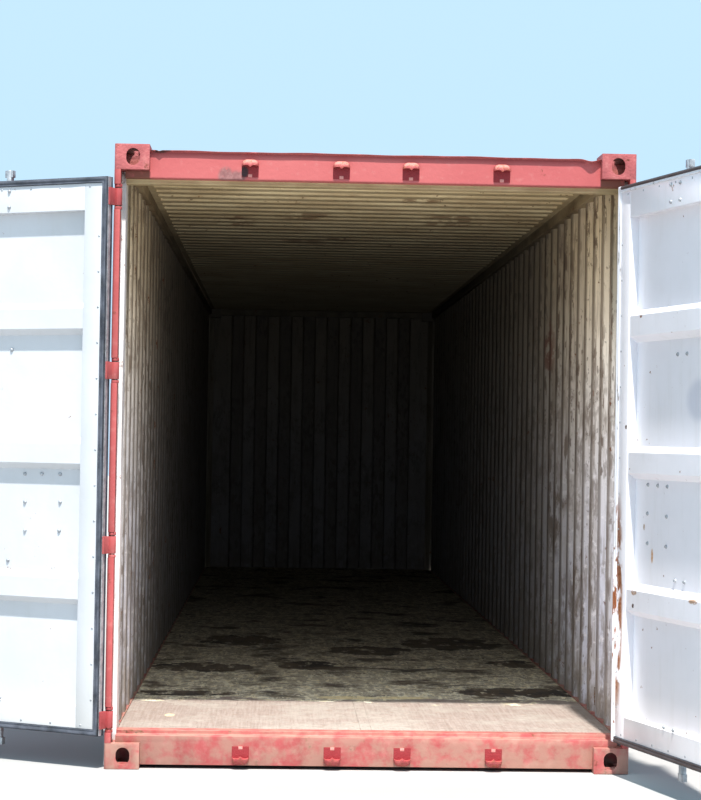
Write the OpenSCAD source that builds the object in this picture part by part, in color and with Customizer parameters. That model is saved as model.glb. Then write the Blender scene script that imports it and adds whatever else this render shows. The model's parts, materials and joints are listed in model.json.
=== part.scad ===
// Forty foot high cube steel freight container with its two end doors open.
// X is the width, Y the length with the door end at -Y, Z up.
// The origin is the centre of the plane on which the four bottom corner castings stand.

/* [Overall] */
// Length over the corner castings
length = 12192; // [6000:1:14000]
// Width over the corner castings
width = 2438; // [2300:1:2600]
// Height over the corner castings
height = 2896; // [2500:1:2950]

/* [Corner castings] */
// Length of a casting along the container
casting_l = 178; // [170:1:190]
// Width of a casting across the container
casting_w = 162; // [155:1:175]
// Height of a casting
casting_h = 118; // [110:1:130]
// Wall of a casting at its top or bottom lifting face
casting_lift_wall = 28; // [20:1:34]
// Wall of a casting at its other faces
casting_wall = 14; // [10:1:18]
// Radius of a casting's outer upright edge
casting_edge = 13; // [8:1:16]
// Distance from the end of the container to the centre of the lifting slot
slot_from_end = 103.5; // [98:0.5:108]
// Distance from the side of the container to the centre of the lifting slot
slot_from_side = 89.5; // [86:0.5:94]
// Length of the lifting slot
slot_l = 124; // [110:1:130]
// Width of the lifting slot
slot_w = 63.5; // [55:0.5:66]
// Long size of the holes in the end and side faces
hole_l = 79.5; // [70:0.5:84]
// Short size of the holes in the end and side faces
hole_w = 63.5; // [50:0.5:66]

/* [Rear posts] */
// Width of the front lip that the hinges interrupt
lip_w = 30; // [26:1:40]
// Depth from the door plane to the shoulder behind the door leaf
shoulder_depth = 104; // [100:1:140]
// Width of the rounded outer front edge of the post
lip_bend = 8; // [7:0.5:12]
// Width from the side of the container to the clear doorway
jamb_w = 48; // [46:1:60]
// Depth of the whole rear post along the container
rear_post_d = 235; // [200:1:280]
// Thickness of the pressed post steel
post_t = 6; // [4:0.5:9]

/* [Front posts] */
// Width of a front post across the container
front_post_w = 92; // [80:1:120]
// Depth of a front post along the container
front_post_d = 132; // [100:1:170]

/* [Header and sill] */
// Set back of the header and sill faces behind the door plane
header_set = 43; // [41:1:60]
// Depth of the top of the header below the top of the castings
header_top_drop = 23; // [10:1:40]
// Height from the top of the castings down to the doorway
header_drop = 153; // [150:1:190]
// Forward overhang of the header's top lip
lip_overhang = 14; // [6:1:20]
// Height of the sill's front edge above the base
sill_h = 150; // [135:1:155]
// Height of the sill's lower edge above the base
sill_base = 15; // [12:1:30]
// Drop of the header's back flange below its front face
flange_drop = 20; // [10:1:30]
// Thickness of the header and sill steel
header_t = 4.5; // [3:0.5:6]

/* [Rails] */
// Size of the square tube along the top of each side
top_rail = 60; // [50:1:80]
// Wall of that tube
top_rail_t = 3; // [2:0.5:5]
// Drop of the tube's outer face behind the side plane
top_rail_set = 3; // [0:1:6]
// Height of the bottom side rail
bottom_rail_h = 158; // [150:1:175]
// Width of the bottom side rail's top flange
bottom_rail_w = 48; // [44:1:60]
// Width of its lower flange
bottom_rail_foot = 30; // [20:1:40]
// Thickness of the bottom side rail
bottom_rail_t = 4.5; // [3:0.5:6]
// Height of the bottom side rail's lower edge above the base
bottom_rail_base = 11.5; // [10:0.5:16]

/* [Side walls] */
// Length of one corrugation
side_pitch = 278; // [240:1:320]
// Width of the outer flat
side_outer = 72; // [60:1:90]
// Length of each sloping web along the wall
side_slope = 68; // [50:1:80]
// Depth of the corrugation
side_depth = 36; // [25:1:37]
// Thickness of the wall sheet
side_t = 2; // [1.5:0.1:3]
// Set back of the wall's outer face behind the side plane
side_set = 5; // [4:0.5:10]

/* [Front wall] */
// Length of one corrugation
front_pitch = 250; // [220:1:280]
// Width of the outer flat
front_outer = 110; // [90:1:130]
// Length of each sloping web along the wall
front_slope = 18; // [12:1:30]
// Depth of the corrugation
front_depth = 45.6; // [30:0.1:50]
// Set back of the front wall's outer face behind the front plane
front_set = 14; // [8:1:24]

/* [Roof] */
// Length of one corrugation
roof_pitch = 209; // [180:1:260]
// Width of the upper flat
roof_upper = 91; // [70:1:110]
// Length of each sloping web along the roof
roof_slope = 13.5; // [10:0.5:30]
// Depth of the corrugation
roof_depth = 20; // [12:1:22]
// Thickness of the roof sheet
roof_t = 2; // [1.5:0.1:3]
// Drop of the roof's highest face below the top of the castings
roof_drop = 6; // [4:1:12]
// Width of the flat margin over each top side rail
roof_margin = 90; // [70:1:120]

/* [Floor] */
// Thickness of the plywood floor
floor_t = 28; // [20:1:32]
// Width of the steel strip along the middle of the floor
strip_w = 50; // [40:1:80]
// Height of the floor's upper face below the top of the bottom side rails
floor_sink = 2.5; // [0:0.5:6]

/* [Underframe] */
// Height of a cross member
cross_h = 122; // [110:1:124]
// Width of a cross member's flanges
cross_w = 45; // [35:1:60]
// Thickness of a cross member
cross_t = 4; // [3:0.5:6]
// Spacing of the cross members
cross_pitch = 305; // [250:1:400]
// Length of the gooseneck tunnel at the front end
tunnel_l = 3315; // [3000:1:3500]
// Clear width of the tunnel
tunnel_w = 1029; // [1000:1:1060]
// Width of the beam along each side of the tunnel
tunnel_beam_w = 56; // [40:1:80]
// Thickness of the tunnel's top plate
tunnel_t = 6; // [4:1:8]

/* [Door leaves] */
// Depth of a leaf's outer face behind the door plane
leaf_set = 43; // [43:1:58]
// Thickness of the leaf's frame
leaf_t = 46; // [40:1:50]
// Gap between a leaf and the header, and between a leaf and the sill
leaf_gap = 8; // [6:1:12]
// Half of the gap between the two leaves
meeting_gap = 8; // [7:1:12]
// Gap between a leaf and the post's lip
edge_gap = 6; // [5:1:10]
// Width of a leaf's upright stile
stile_w = 122; // [80:1:160]
// Height of the leaf's top rail
leaf_top_rail = 150; // [100:1:160]
// Height of the leaf's bottom rail
leaf_bottom_rail = 125; // [90:1:150]
// Wall of the leaf's frame tubes
leaf_tube_t = 3.2; // [2.5:0.1:5]
// Thickness of the leaf's panel sheet
panel_t = 2; // [1.5:0.1:3]
// Depth of the panel's horizontal channels
panel_depth = 40; // [30:1:42]
// Height of a channel's inner face
channel_face = 92; // [70:1:120]
// Height of each sloping web of a channel
channel_slope = 29; // [20:1:40]
// Spacing of the three channels
channel_pitch = 629; // [560:1:660]
// Height of the middle channel's centre below the top of the leaf
channel_mid = 1282; // [1200:1:1330]
// Width of the rubber gasket round the leaf
gasket_w = 26; // [20:1:60]
// Thickness of the rubber gasket
gasket_t = 9; // [6:1:10]

/* [Hinges] */
// Distance of the pin axis from the side plane
pin_from_side = 19; // [18:0.5:22]
// Depth of the pin axis behind the door plane
pin_depth = 20; // [19.5:0.5:23]
// Radius of the hinge pin
pin_r = 11; // [8:0.5:12]
// Running clearance round the pin
pin_clear = 0.3; // [0.1:0.1:0.5]
// Radius of the blade's barrel and of the lugs
barrel_r = 18; // [16:0.5:18]
// Height of a hinge blade
blade_h = 80; // [60:1:90]
// Thickness of a hinge blade's arm on the edge of the leaf
blade_t = 12; // [10:1:13]
// Margin between the end of that arm and the leaf's inner face
blade_margin = 6; // [4:1:12]
// Gap between that arm and the end of its notch in the post
notch_gap = 7; // [5:1:12]
// Gap between a blade and each lug
lug_gap = 5; // [5:1:8]
// Thickness of a hinge lug
lug_t = 14; // [10:1:20]
// Height of the lowest hinge above the leaf's lower edge
hinge_from_base = 67; // [64:1:140]
// Distance of the highest hinge below the leaf's upper edge
hinge_from_top = 86; // [64:1:140]

/* [Lock gear] */
// Distance of the inner lock rod from the middle of the doorway
rod_inner = 163; // [140:1:200]
// Distance of the outer lock rod from the middle of the doorway
rod_outer = 590; // [500:1:700]
// Radius of a lock rod
rod_r = 17; // [14:1:18]
// Gap between a lock rod and the leaf's face
rod_gap = 6; // [5:1:8]
// Width of a locking cam across the rod
cam_w = 44; // [36:1:48]
// Depth of a locking cam
cam_d = 24; // [18:1:26]
// Height of a locking cam
cam_h = 34; // [24:1:40]
// Gap between a cam and the cap of its keeper
cam_gap = 10; // [6:1:14]
// Height of a rod guide
guide_h = 40; // [30:1:50]
// Width of a rod guide's base plate
guide_plate_w = 96; // [80:1:110]
// Thickness of that plate
guide_plate_t = 5; // [4:0.5:6]
// Thickness of the guide's saddle round the rod
guide_band = 6; // [4:0.5:8]
// Clearance between the rod and its guides
guide_clear = 0.5; // [0.3:0.1:1]
// Distance of the top guide below the leaf's upper edge
guide_top = 85; // [45:1:100]
// Distance of the lowest guide above the leaf's lower edge
guide_low = 137; // [60:1:160]
// Height of the lower middle guide above the lowest channel
guide_above = 40; // [24:1:90]
// Distance of the upper middle guide below the highest channel
guide_under = 68; // [24:1:90]
// Width of a cam keeper
keeper_w = 80; // [76:1:96]
// Height of a cam keeper
keeper_h = 84; // [70:1:88]
// Thickness of a cam keeper's cheeks
keeper_t = 10; // [8:1:12]
// Thickness of a cam keeper's cap
keeper_cap = 16; // [12:1:18]
// Set back of a cam keeper's front behind the door plane
keeper_front = 8; // [5:1:14]
// Height of a top keeper's top above the doorway
keeper_rise = 97; // [90:1:112]
// Height of the bottom keepers above the sill's lower edge
keeper_base = 5; // [3:1:10]
// Height of the handles above the middle of the flat they cross
handle_rise = 60; // [40:1:90]
// Length of a handle from its rod
handle_l = 375; // [300:1:390]
// Height of a handle's flat bar
handle_h = 38; // [28:1:45]
// Thickness of a handle's flat bar
handle_t = 10; // [8:1:12]
// Thickness of the hub that clamps a handle on its rod
hub_t = 5.5; // [4:0.5:6]
// Width of the catch that holds a handle's free end
catch_w = 46; // [30:1:60]
// Thickness of that catch
catch_t = 5; // [4:1:8]

/* [Fittings] */
// Width of a ventilator cover
vent_w = 66; // [50:1:68]
// Height of a ventilator cover
vent_h = 130; // [90:1:160]
// Projection of a ventilator cover from the wall
vent_t = 26; // [16:1:30]
// Thickness of its steel
vent_wall = 3; // [2:0.5:4]
// Number of louvres in its face
vent_louvres = 5; // [2:1:7]
// Height of one louvre
louvre_h = 7; // [5:1:9]
// Distance of a ventilator cover below the top side rail
vent_drop = 60; // [30:1:200]
// Hollow of the wall, counted from the end, that carries a ventilator cover
vent_flat = 2; // [1:1:6]
// Radius of the round bar of a lashing ring
ring_bar_r = 6; // [4:0.5:8]
// Length of that bar
ring_l = 90; // [60:1:120]
// Distance from the wall to the middle of that bar
ring_stand = 20; // [14:1:26]
// Height of the bar above the bottom side rail
ring_base = 40; // [20:1:80]
// Spacing of the lashing rings in corrugations
ring_step = 5; // [3:1:8]

/* [Open doors] */
// Opening of the left door as it stands
left_open = 208; // [0:1:262]
// Opening of the right door as it stands
right_open = 105; // [0:0.5:262]

/* [Hidden] */

RED = [0.72, 0.27, 0.26];
INSIDE = [0.70, 0.68, 0.62];
WHITE = [0.92, 0.93, 0.94];
STEEL = [0.55, 0.53, 0.52];
RUBBER = [0.12, 0.13, 0.15];
PLY = [0.38, 0.32, 0.26];

half_w = width / 2;
half_l = length / 2;
door_y = -half_l;
inner_cast_x = half_w - casting_w;
doorway_x = half_w - jamb_w;
doorway_top = height - header_drop;
floor_top = bottom_rail_base + bottom_rail_h - floor_sink;
floor_base = floor_top - floor_t;
cross_base = floor_base - cross_h;
web_x = half_w - bottom_rail_w;
wall_base = bottom_rail_base + bottom_rail_h;
roof_low = height - roof_drop - roof_depth - roof_t;
rail_base = roof_low - top_rail;
side_back = door_y + rear_post_d;
side_front = half_l - front_post_d;
front_inner = half_l - front_set - front_depth - side_t;
floor_x = min(web_x, doorway_x);
front_inset = 8;
pin_x = half_w - pin_from_side;
pin_y = door_y + pin_depth;
blade_end = leaf_set + leaf_t - blade_margin;
notch_h = blade_h + 2 * (lug_gap + lug_t);
leaf_top = doorway_top - leaf_gap;
leaf_base = sill_h + leaf_gap;
leaf_edge = half_w - lip_w - edge_gap;
leaf_y = door_y + leaf_set;
notch_d = leaf_set + 1;
rod_y = leaf_y - rod_gap - rod_r;
panel_x0 = meeting_gap + stile_w;
panel_x1 = leaf_edge - stile_w;
beam_back = half_l - tunnel_l;
eps = 1;

function hinge_z(i) = leaf_base + hinge_from_base
  + i * (leaf_top - leaf_base - hinge_from_base - hinge_from_top) / 3;

// One wave of a corrugated sheet: flat, web, flat, web, as points of its middle line.
// The first flat is at zero and the second at the given depth.
function wave(at, pitch, flat, slope, depth) =
  [[at + slope, depth], [at + pitch - flat - slope, depth], [at + pitch - flat, 0], [at + pitch, 0]];

// Middle line of a sheet that starts and ends with a flat at zero and is centred on the span.
function sheet_line(from, to, pitch, flat, slope, depth) =
  let (count = floor((to - from - flat) / pitch),
       start = (from + to - count * pitch + flat) / 2)
  concat([[from, 0], [start, 0]],
    [for (i = [0 : count - 1]) each wave(start + i * pitch, pitch, flat, slope, depth)],
    [[to, 0]]);

// Shift along the sheet that keeps the bent sheet equally thick at a bend.
function bend_shift(slope, depth, t) = t / 2 * tan(atan2(depth, slope) / 2);

// One face of the sheet: the middle line moved by half the thickness to one side, so
// that its corners shift against a rising web and along a falling one.
function sheet_face(line, side, t, slope, depth) =
  let (s = bend_shift(slope, depth, t))
  [for (i = [0 : len(line) - 1])
    let (p = line[i],
         before = i == 0 ? p : line[i - 1],
         after = i == len(line) - 1 ? p : line[i + 1],
         rise = sign(after[1] - p[1]) + sign(p[1] - before[1]))
    [p[0] - side * s * rise, p[1] + side * t / 2]];

function reversed(list) = [for (i = [len(list) - 1 : -1 : 0]) list[i]];

// Closed outline of a bent sheet of even thickness.
function sheet_outline(line, t, slope, depth) =
  concat(sheet_face(line, 1, t, slope, depth), reversed(sheet_face(line, -1, t, slope, depth)));

module both_sides() {
  children();
  mirror([1, 0, 0]) children();
}

module slot(long, wide, deep) {
  translate([0, 0, -deep / 2]) linear_extrude(deep) {
    for (s = [-1, 1]) translate([s * (long - wide) / 2, 0]) circle(d = wide, $fn = 48);
    square([long - wide, wide], center = true);
  }
}

// A casting with its outer corner at the origin, reaching to +X, +Y and +Z, lifting face at z = 0.
module casting() {
  reach = 2 * casting_lift_wall + 10;
  hole_shift = 4;
  difference() {
    linear_extrude(casting_h) {
      translate([casting_edge, 0]) square([casting_w - casting_edge, casting_l]);
      translate([0, casting_edge]) square([casting_w, casting_l - casting_edge]);
      translate([casting_edge, casting_edge]) circle(r = casting_edge, $fn = 48);
    }
    translate([casting_wall, casting_wall, casting_lift_wall])
      cube([casting_w - 2 * casting_wall, casting_l - 2 * casting_wall,
        casting_h - casting_lift_wall - casting_wall]);
    translate([slot_from_side, slot_from_end, 0]) rotate([0, 0, 90]) slot(slot_l, slot_w, reach);
    translate([slot_from_side - hole_shift, 0, casting_h / 2]) rotate([90, 90, 0])
      slot(hole_l, hole_w, 2 * casting_wall + eps);
    translate([0, slot_from_end - hole_shift, casting_h / 2]) rotate([90, 0, 90])
      slot(hole_l, hole_w, 2 * casting_wall + eps);
  }
}

module four_corners() {
  for (sx = [0, 1]) mirror([sx, 0, 0])
    for (sy = [0, 1]) mirror([0, sy, 0])
      translate([-half_w, -half_l, 0]) children();
}

module bottom_corner_castings() {
  color(RED) four_corners() casting();
}

module top_corner_castings() {
  color(RED) translate([0, 0, height]) mirror([0, 0, 1]) four_corners() casting();
}

// Outline of the rear post seen from above, on the right side, inset by g.
// The lip is at the door plane, the shoulder behind the leaf and the jamb at the doorway.
module rear_post_outline(g) {
  polygon([
    [half_w - lip_bend, door_y + g],
    [half_w - g, door_y + lip_bend],
    [half_w - g, door_y + rear_post_d - g],
    [doorway_x + g, door_y + rear_post_d - g],
    [doorway_x + g, door_y + shoulder_depth + g],
    [half_w - lip_w + g, door_y + shoulder_depth + g],
    [half_w - lip_w + g, door_y + g]]);
}

module rear_post() {
  color(RED) difference() {
    translate([0, 0, casting_h]) linear_extrude(height - 2 * casting_h) difference() {
      rear_post_outline(0);
      rear_post_outline(post_t);
    }
    for (i = [0 : 3]) translate([half_w - lip_w - eps, door_y - eps, hinge_z(i) - notch_h / 2]) {
      cube([lip_w + 2 * eps, notch_d + eps, notch_h]);
      cube([pin_x - half_w + lip_w + eps, blade_end + notch_gap + eps, notch_h]);
    }
  }
}

module right_rear_post() { rear_post(); }
module left_rear_post() { mirror([1, 0, 0]) rear_post(); }

module front_post_outline(g) {
  polygon([
    [half_w - g, half_l - g],
    [half_w - front_post_w + g, half_l - g],
    [half_w - front_post_w + g, half_l - front_set - front_depth - g],
    [half_w - jamb_w + g, half_l - front_post_d + g],
    [half_w - g, half_l - front_post_d + g]]);
}

module front_post() {
  color(RED) translate([0, 0, casting_h]) linear_extrude(height - 2 * casting_h) difference() {
    front_post_outline(0);
    front_post_outline(post_t);
  }
}

module right_front_post() { front_post(); }
module left_front_post() { mirror([1, 0, 0]) front_post(); }

// A profile drawn as [y, z] and extruded across the container between two x values.
module across(x0, x1) {
  translate([x0, 0, 0]) rotate([90, 0, 90]) linear_extrude(x1 - x0) children();
}

// Box section of the header: top lip, face, underside and back flange behind the leaf.
module header_outline(g) {
  face = door_y + header_set;
  back = door_y + casting_l;
  polygon([
    [face + g, doorway_top + g],
    [door_y + shoulder_depth + g, doorway_top + g],
    [door_y + shoulder_depth + g, doorway_top - flange_drop + g],
    [back - g, doorway_top - flange_drop + g],
    [back - g, height - header_top_drop - g],
    [face + g, height - header_top_drop - g]]);
}

module door_header() {
  face = door_y + header_set;
  color(RED) union() {
    across(-inner_cast_x, inner_cast_x) {
      difference() {
        header_outline(0);
        header_outline(header_t);
      }
      translate([face - lip_overhang, height - header_top_drop - header_t])
        square([lip_overhang + header_t, header_t]);
    }
    both_sides() across(inner_cast_x - 1, doorway_x) difference() {
      intersection() {
        header_outline(0);
        translate([door_y, 0]) square([casting_l, height - casting_h]);
      }
      header_outline(header_t);
    }
  }
}

// Box section of the sill: face, top behind the leaf and its raised back edge at floor level.
module sill_outline(g) {
  face = door_y + header_set;
  back = door_y + casting_l;
  polygon([
    [face + g, sill_base + g],
    [back - g, sill_base + g],
    [back - g, floor_top - g],
    [door_y + shoulder_depth + g, floor_top - g],
    [door_y + shoulder_depth + g, sill_h - g],
    [face + g, sill_h - g]]);
}

module door_sill() {
  color(RED) union() {
    across(-inner_cast_x, inner_cast_x) difference() {
      sill_outline(0);
      sill_outline(header_t);
    }
    both_sides() across(inner_cast_x - 1, doorway_x) difference() {
      intersection() {
        sill_outline(0);
        translate([door_y, casting_h]) square([casting_l, height]);
      }
      sill_outline(header_t);
    }
  }
}

// One cam keeper on the header: two cheeks and a sloping cap, open in front and below.
module keeper() {
  reach = header_set - keeper_front;
  shoulder = 0.62 * keeper_h;
  crest = 0.55 * reach;
  difference() {
    translate([-keeper_w / 2, 0, 0]) rotate([90, 0, 90]) linear_extrude(keeper_w)
      polygon([[0, 0], [-reach, 0], [-reach, shoulder], [-crest, keeper_h], [0, keeper_h]]);
    translate([-keeper_w / 2 + keeper_t, -reach - eps, -eps])
      cube([keeper_w - 2 * keeper_t, reach + 2 * eps, keeper_h - keeper_cap]);
  }
}

module cam_keepers() {
  face = door_y + header_set;
  color(RED) both_sides() for (x = [rod_inner, rod_outer]) {
    translate([x, face, doorway_top + keeper_rise - keeper_h]) keeper();
    translate([x, face, sill_base + keeper_base + keeper_h]) mirror([0, 0, 1]) keeper();
  }
}

// A lug: a ring for the pin with a foot that is welded in the post's notch.
module lug() {
  foot = half_w - lip_w;
  difference() {
    union() {
      translate([pin_x, pin_y, 0]) cylinder(r = barrel_r, h = lug_t, $fn = 48);
      translate([foot, pin_y, 0]) cube([pin_x + barrel_r - foot, notch_d - pin_depth, lug_t]);
    }
    translate([pin_x, pin_y, -1]) cylinder(r = pin_r, h = lug_t + 2, $fn = 48);
  }
}

module hinge_lugs() {
  color(RED) both_sides() for (i = [0 : 3]) {
    translate([0, 0, hinge_z(i) - notch_h / 2]) lug();
    translate([0, 0, hinge_z(i) + notch_h / 2 - lug_t]) lug();
  }
}

module hinge_pins() {
  color(STEEL) both_sides() for (i = [0 : 3])
    translate([pin_x, pin_y, hinge_z(i) - notch_h / 2])
      cylinder(r = pin_r, h = notch_h, $fn = 48);
}

// Hollow front rails between the castings.
module front_rail(base, top) {
  across(-inner_cast_x, inner_cast_x) difference() {
    translate([half_l - front_post_d, base]) square([front_post_d - front_inset, top - base]);
    translate([half_l - front_post_d + header_t, base + header_t])
      square([front_post_d - front_inset - 2 * header_t, top - base - 2 * header_t]);
  }
}

module front_top_rail() {
  color(RED) front_rail(rail_base, roof_low);
}

module front_bottom_rail() {
  color(RED) difference() {
    front_rail(sill_base, floor_base);
    translate([-tunnel_w / 2 - tunnel_beam_w, half_l - front_post_d - 1, 0])
      cube([tunnel_w + 2 * tunnel_beam_w, front_post_d + 2, floor_base + 1]);
  }
}

module top_side_rail() {
  outer = half_w - top_rail_set;
  color(RED) translate([0, door_y + casting_l, 0]) rotate([90, 0, 180])
    linear_extrude(length - 2 * casting_l) difference() {
      translate([-outer, rail_base]) square([top_rail, top_rail]);
      translate([-outer + top_rail_t, rail_base + top_rail_t])
        square([top_rail - 2 * top_rail_t, top_rail - 2 * top_rail_t]);
    }
}

module right_top_side_rail() { top_side_rail(); }
module left_top_side_rail() { mirror([1, 0, 0]) top_side_rail(); }

// Bottom side rail: web, top flange that carries the wall, and lower flange turned inward.
// The rear post stands in a cut at its door end.
module bottom_side_rail() {
  color(RED) difference() {
    translate([0, door_y + casting_l, 0]) rotate([90, 0, 180])
    linear_extrude(length - 2 * casting_l) mirror([1, 0]) polygon([
      [web_x - bottom_rail_foot, bottom_rail_base],
      [web_x + bottom_rail_t, bottom_rail_base],
      [web_x + bottom_rail_t, wall_base - bottom_rail_t],
      [half_w, wall_base - bottom_rail_t],
      [half_w, wall_base],
      [web_x, wall_base],
      [web_x, bottom_rail_base + bottom_rail_t],
      [web_x - bottom_rail_foot, bottom_rail_base + bottom_rail_t]]);
    translate([doorway_x, door_y, casting_h]) cube([jamb_w + eps, rear_post_d, casting_h]);
  }
}

// Space of the top castings, cut out of the walls that pass them.
module top_casting_space() {
  translate([inner_cast_x, half_l - casting_l, height - casting_h])
    cube([casting_w, casting_l, casting_h]);
}

module right_bottom_side_rail() { bottom_side_rail(); }
module left_bottom_side_rail() { mirror([1, 0, 0]) bottom_side_rail(); }

module side_wall() {
  line = sheet_line(side_back, side_front, side_pitch, side_outer, side_slope, side_depth);
  color(INSIDE) difference() {
    translate([half_w - side_set - side_t / 2, 0, wall_base])
      linear_extrude(rail_base - wall_base) rotate(90)
        polygon(sheet_outline(line, side_t, side_slope, side_depth));
    top_casting_space();
  }
}

module right_side_wall() { side_wall(); }
module left_side_wall() { mirror([1, 0, 0]) side_wall(); }

module front_wall() {
  reach = half_w - front_post_w;
  line = sheet_line(-reach, reach, front_pitch, front_outer, front_slope, front_depth);
  color(INSIDE) difference() {
    translate([0, half_l - front_set - side_t / 2, floor_base])
      linear_extrude(rail_base - floor_base) rotate(180)
        polygon(sheet_outline(line, side_t, front_slope, front_depth));
    both_sides() top_casting_space();
  }
}

// Roof: pressed ridges across the container, closed at their ends, with flat margins.
module roof() {
  start = door_y + casting_l;
  end = half_l - casting_l;
  line = sheet_line(start, end, roof_pitch, roof_pitch - roof_upper - 2 * roof_slope, roof_slope, roof_depth);
  outer = half_w - top_rail_set;
  ridge_end = outer - roof_margin;
  upper = sheet_face(line, 1, roof_t, roof_slope, roof_depth);
  color(INSIDE) union() {
    translate([0, 0, roof_low + roof_t / 2]) across(-ridge_end, ridge_end)
      polygon(sheet_outline(line, roof_t, roof_slope, roof_depth));
    both_sides() {
      translate([0, 0, roof_low + roof_t / 2]) across(ridge_end - roof_t, ridge_end)
        polygon(concat(upper, [[end, -roof_t / 2], [start, -roof_t / 2]]));
      translate([ridge_end - roof_t, start, roof_low])
        cube([roof_margin + roof_t, end - start, roof_t]);
    }
    translate([-inner_cast_x, end, roof_low]) cube([2 * inner_cast_x, half_l - front_inset - end, roof_t]);
  }
}

// Boards of one side, narrowed at the front end to pass the front post.
module floor_boards() {
  color(PLY) both_sides() translate([0, 0, floor_base]) linear_extrude(floor_t) polygon([
    [strip_w / 2, door_y + casting_l],
    [floor_x, door_y + casting_l],
    [floor_x, side_front],
    [half_w - front_post_w, front_inner],
    [strip_w / 2, front_inner]]);
}

module floor_centre_strip() {
  color(STEEL) translate([-strip_w / 2, door_y + casting_l, floor_base])
    cube([strip_w, front_inner - door_y - casting_l, floor_t]);
}

// A C section with its web upright, opening towards +Y.
module channel_outline() {
  difference() {
    square([cross_w, cross_h]);
    translate([cross_t, cross_t]) square([cross_w, cross_h - 2 * cross_t]);
  }
}

cross_count = floor((beam_back - door_y - casting_l - cross_w) / cross_pitch);
outrigger_count = floor((tunnel_l - front_post_d - cross_w) / cross_pitch);

module cross_members() {
  color(RED) for (i = [1 : cross_count])
    translate([0, beam_back - i * cross_pitch, cross_base])
      across(-web_x, web_x) channel_outline();
}

// Beams and top plate of the recess for the lorry's gooseneck.
module gooseneck_tunnel() {
  run = tunnel_l - front_inset;
  color(RED) union() {
    translate([-tunnel_w / 2, beam_back, floor_base - tunnel_t]) cube([tunnel_w, run, tunnel_t]);
    both_sides() translate([tunnel_w / 2, beam_back, cross_base]) difference() {
      cube([tunnel_beam_w, run, cross_h]);
      translate([cross_t, -1, cross_t]) cube([tunnel_beam_w, run + 2, cross_h - 2 * cross_t]);
    }
    translate([-tunnel_w / 2, beam_back, cross_base]) cube([tunnel_w, cross_t, cross_h]);
  }
}

module tunnel_outriggers() {
  start = tunnel_w / 2 + tunnel_beam_w;
  color(RED) both_sides() for (i = [1 : outrigger_count])
    translate([0, beam_back + i * cross_pitch, cross_base])
      across(start, web_x) channel_outline();
}

// Corrugations in a side wall, and the centre along the container of its n-th outer flat.
side_count = floor((side_front - side_back - side_outer) / side_pitch);
function side_flat(n) =
  (side_back + side_front + (2 * n - side_count) * side_pitch) / 2;

// A ventilator cover: a thin hood with a sloping top, open below, with louvres in its face.
module vent_cover() {
  pitch = (vent_h - vent_t) / (vent_louvres + 1);
  difference() {
    rotate([90, 0, 0]) linear_extrude(vent_w, center = true)
      polygon([[0, 0], [vent_t, 0], [vent_t, vent_h - vent_t], [0, vent_h]]);
    rotate([90, 0, 0]) linear_extrude(vent_w - 2 * vent_wall, center = true) polygon([
      [-eps, -eps],
      [vent_t - vent_wall, -eps],
      [vent_t - vent_wall, vent_h - vent_t - vent_wall / 2],
      [-eps, vent_h - 2.5 * vent_wall + eps]]);
    for (i = [1 : vent_louvres])
      translate([vent_t - 2 * vent_wall, -vent_w / 2 + 3 * vent_wall, i * pitch - louvre_h / 2])
        cube([3 * vent_wall, vent_w - 6 * vent_wall, louvre_h]);
  }
}

// Ventilator covers in the outer hollows, near the top of each wall and both its ends.
module ventilators() {
  color(RED) both_sides() for (y = [side_flat(vent_flat - 0.5), side_flat(side_count - vent_flat + 0.5)])
    translate([half_w - side_set - side_depth, y, rail_base - vent_drop - vent_h]) vent_cover();
}

// Upright bars on two short stubs, in the inner hollows of the walls above the bottom rails.
module lashing_rings() {
  back = half_w - side_set - side_t;
  color(STEEL) both_sides() for (n = [2 : ring_step : side_count - 1])
    translate([back - ring_stand, side_flat(n), wall_base + ring_base]) {
      cylinder(r = ring_bar_r, h = ring_l, $fn = 24);
      for (z = [ring_bar_r, ring_l - ring_bar_r])
        translate([0, 0, z]) rotate([0, 90, 0]) cylinder(r = ring_bar_r, h = ring_stand, $fn = 24);
    }
}

// Turns a leaf that is drawn closed, on the right side, to the given opening.
module right_leaf(angle) {
  translate([pin_x, pin_y, 0]) rotate([0, 0, angle]) translate([-pin_x, -pin_y, 0]) children();
}

module leaf_stiles() {
  for (x = [meeting_gap, panel_x1])
    translate([x, leaf_y, leaf_base]) difference() {
      cube([stile_w, leaf_t, leaf_top - leaf_base]);
      translate([leaf_tube_t, leaf_tube_t, -1])
        cube([stile_w - 2 * leaf_tube_t, leaf_t - 2 * leaf_tube_t, leaf_top - leaf_base + 2]);
    }
}

// Top and bottom rails: C sections open towards the panel.
module leaf_rails() {
  run = panel_x1 - panel_x0;
  translate([panel_x0, leaf_y, leaf_top - leaf_top_rail]) difference() {
    cube([run, leaf_t, leaf_top_rail]);
    translate([-1, leaf_tube_t, leaf_tube_t])
      cube([run + 2, leaf_t - 2 * leaf_tube_t, leaf_top_rail - 2 * leaf_tube_t]);
  }
  translate([panel_x0, leaf_y, leaf_base]) difference() {
    cube([run, leaf_t, leaf_bottom_rail]);
    translate([-1, leaf_tube_t, leaf_tube_t])
      cube([run + 2, leaf_t - 2 * leaf_tube_t, leaf_bottom_rail - 2 * leaf_tube_t]);
  }
}

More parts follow.
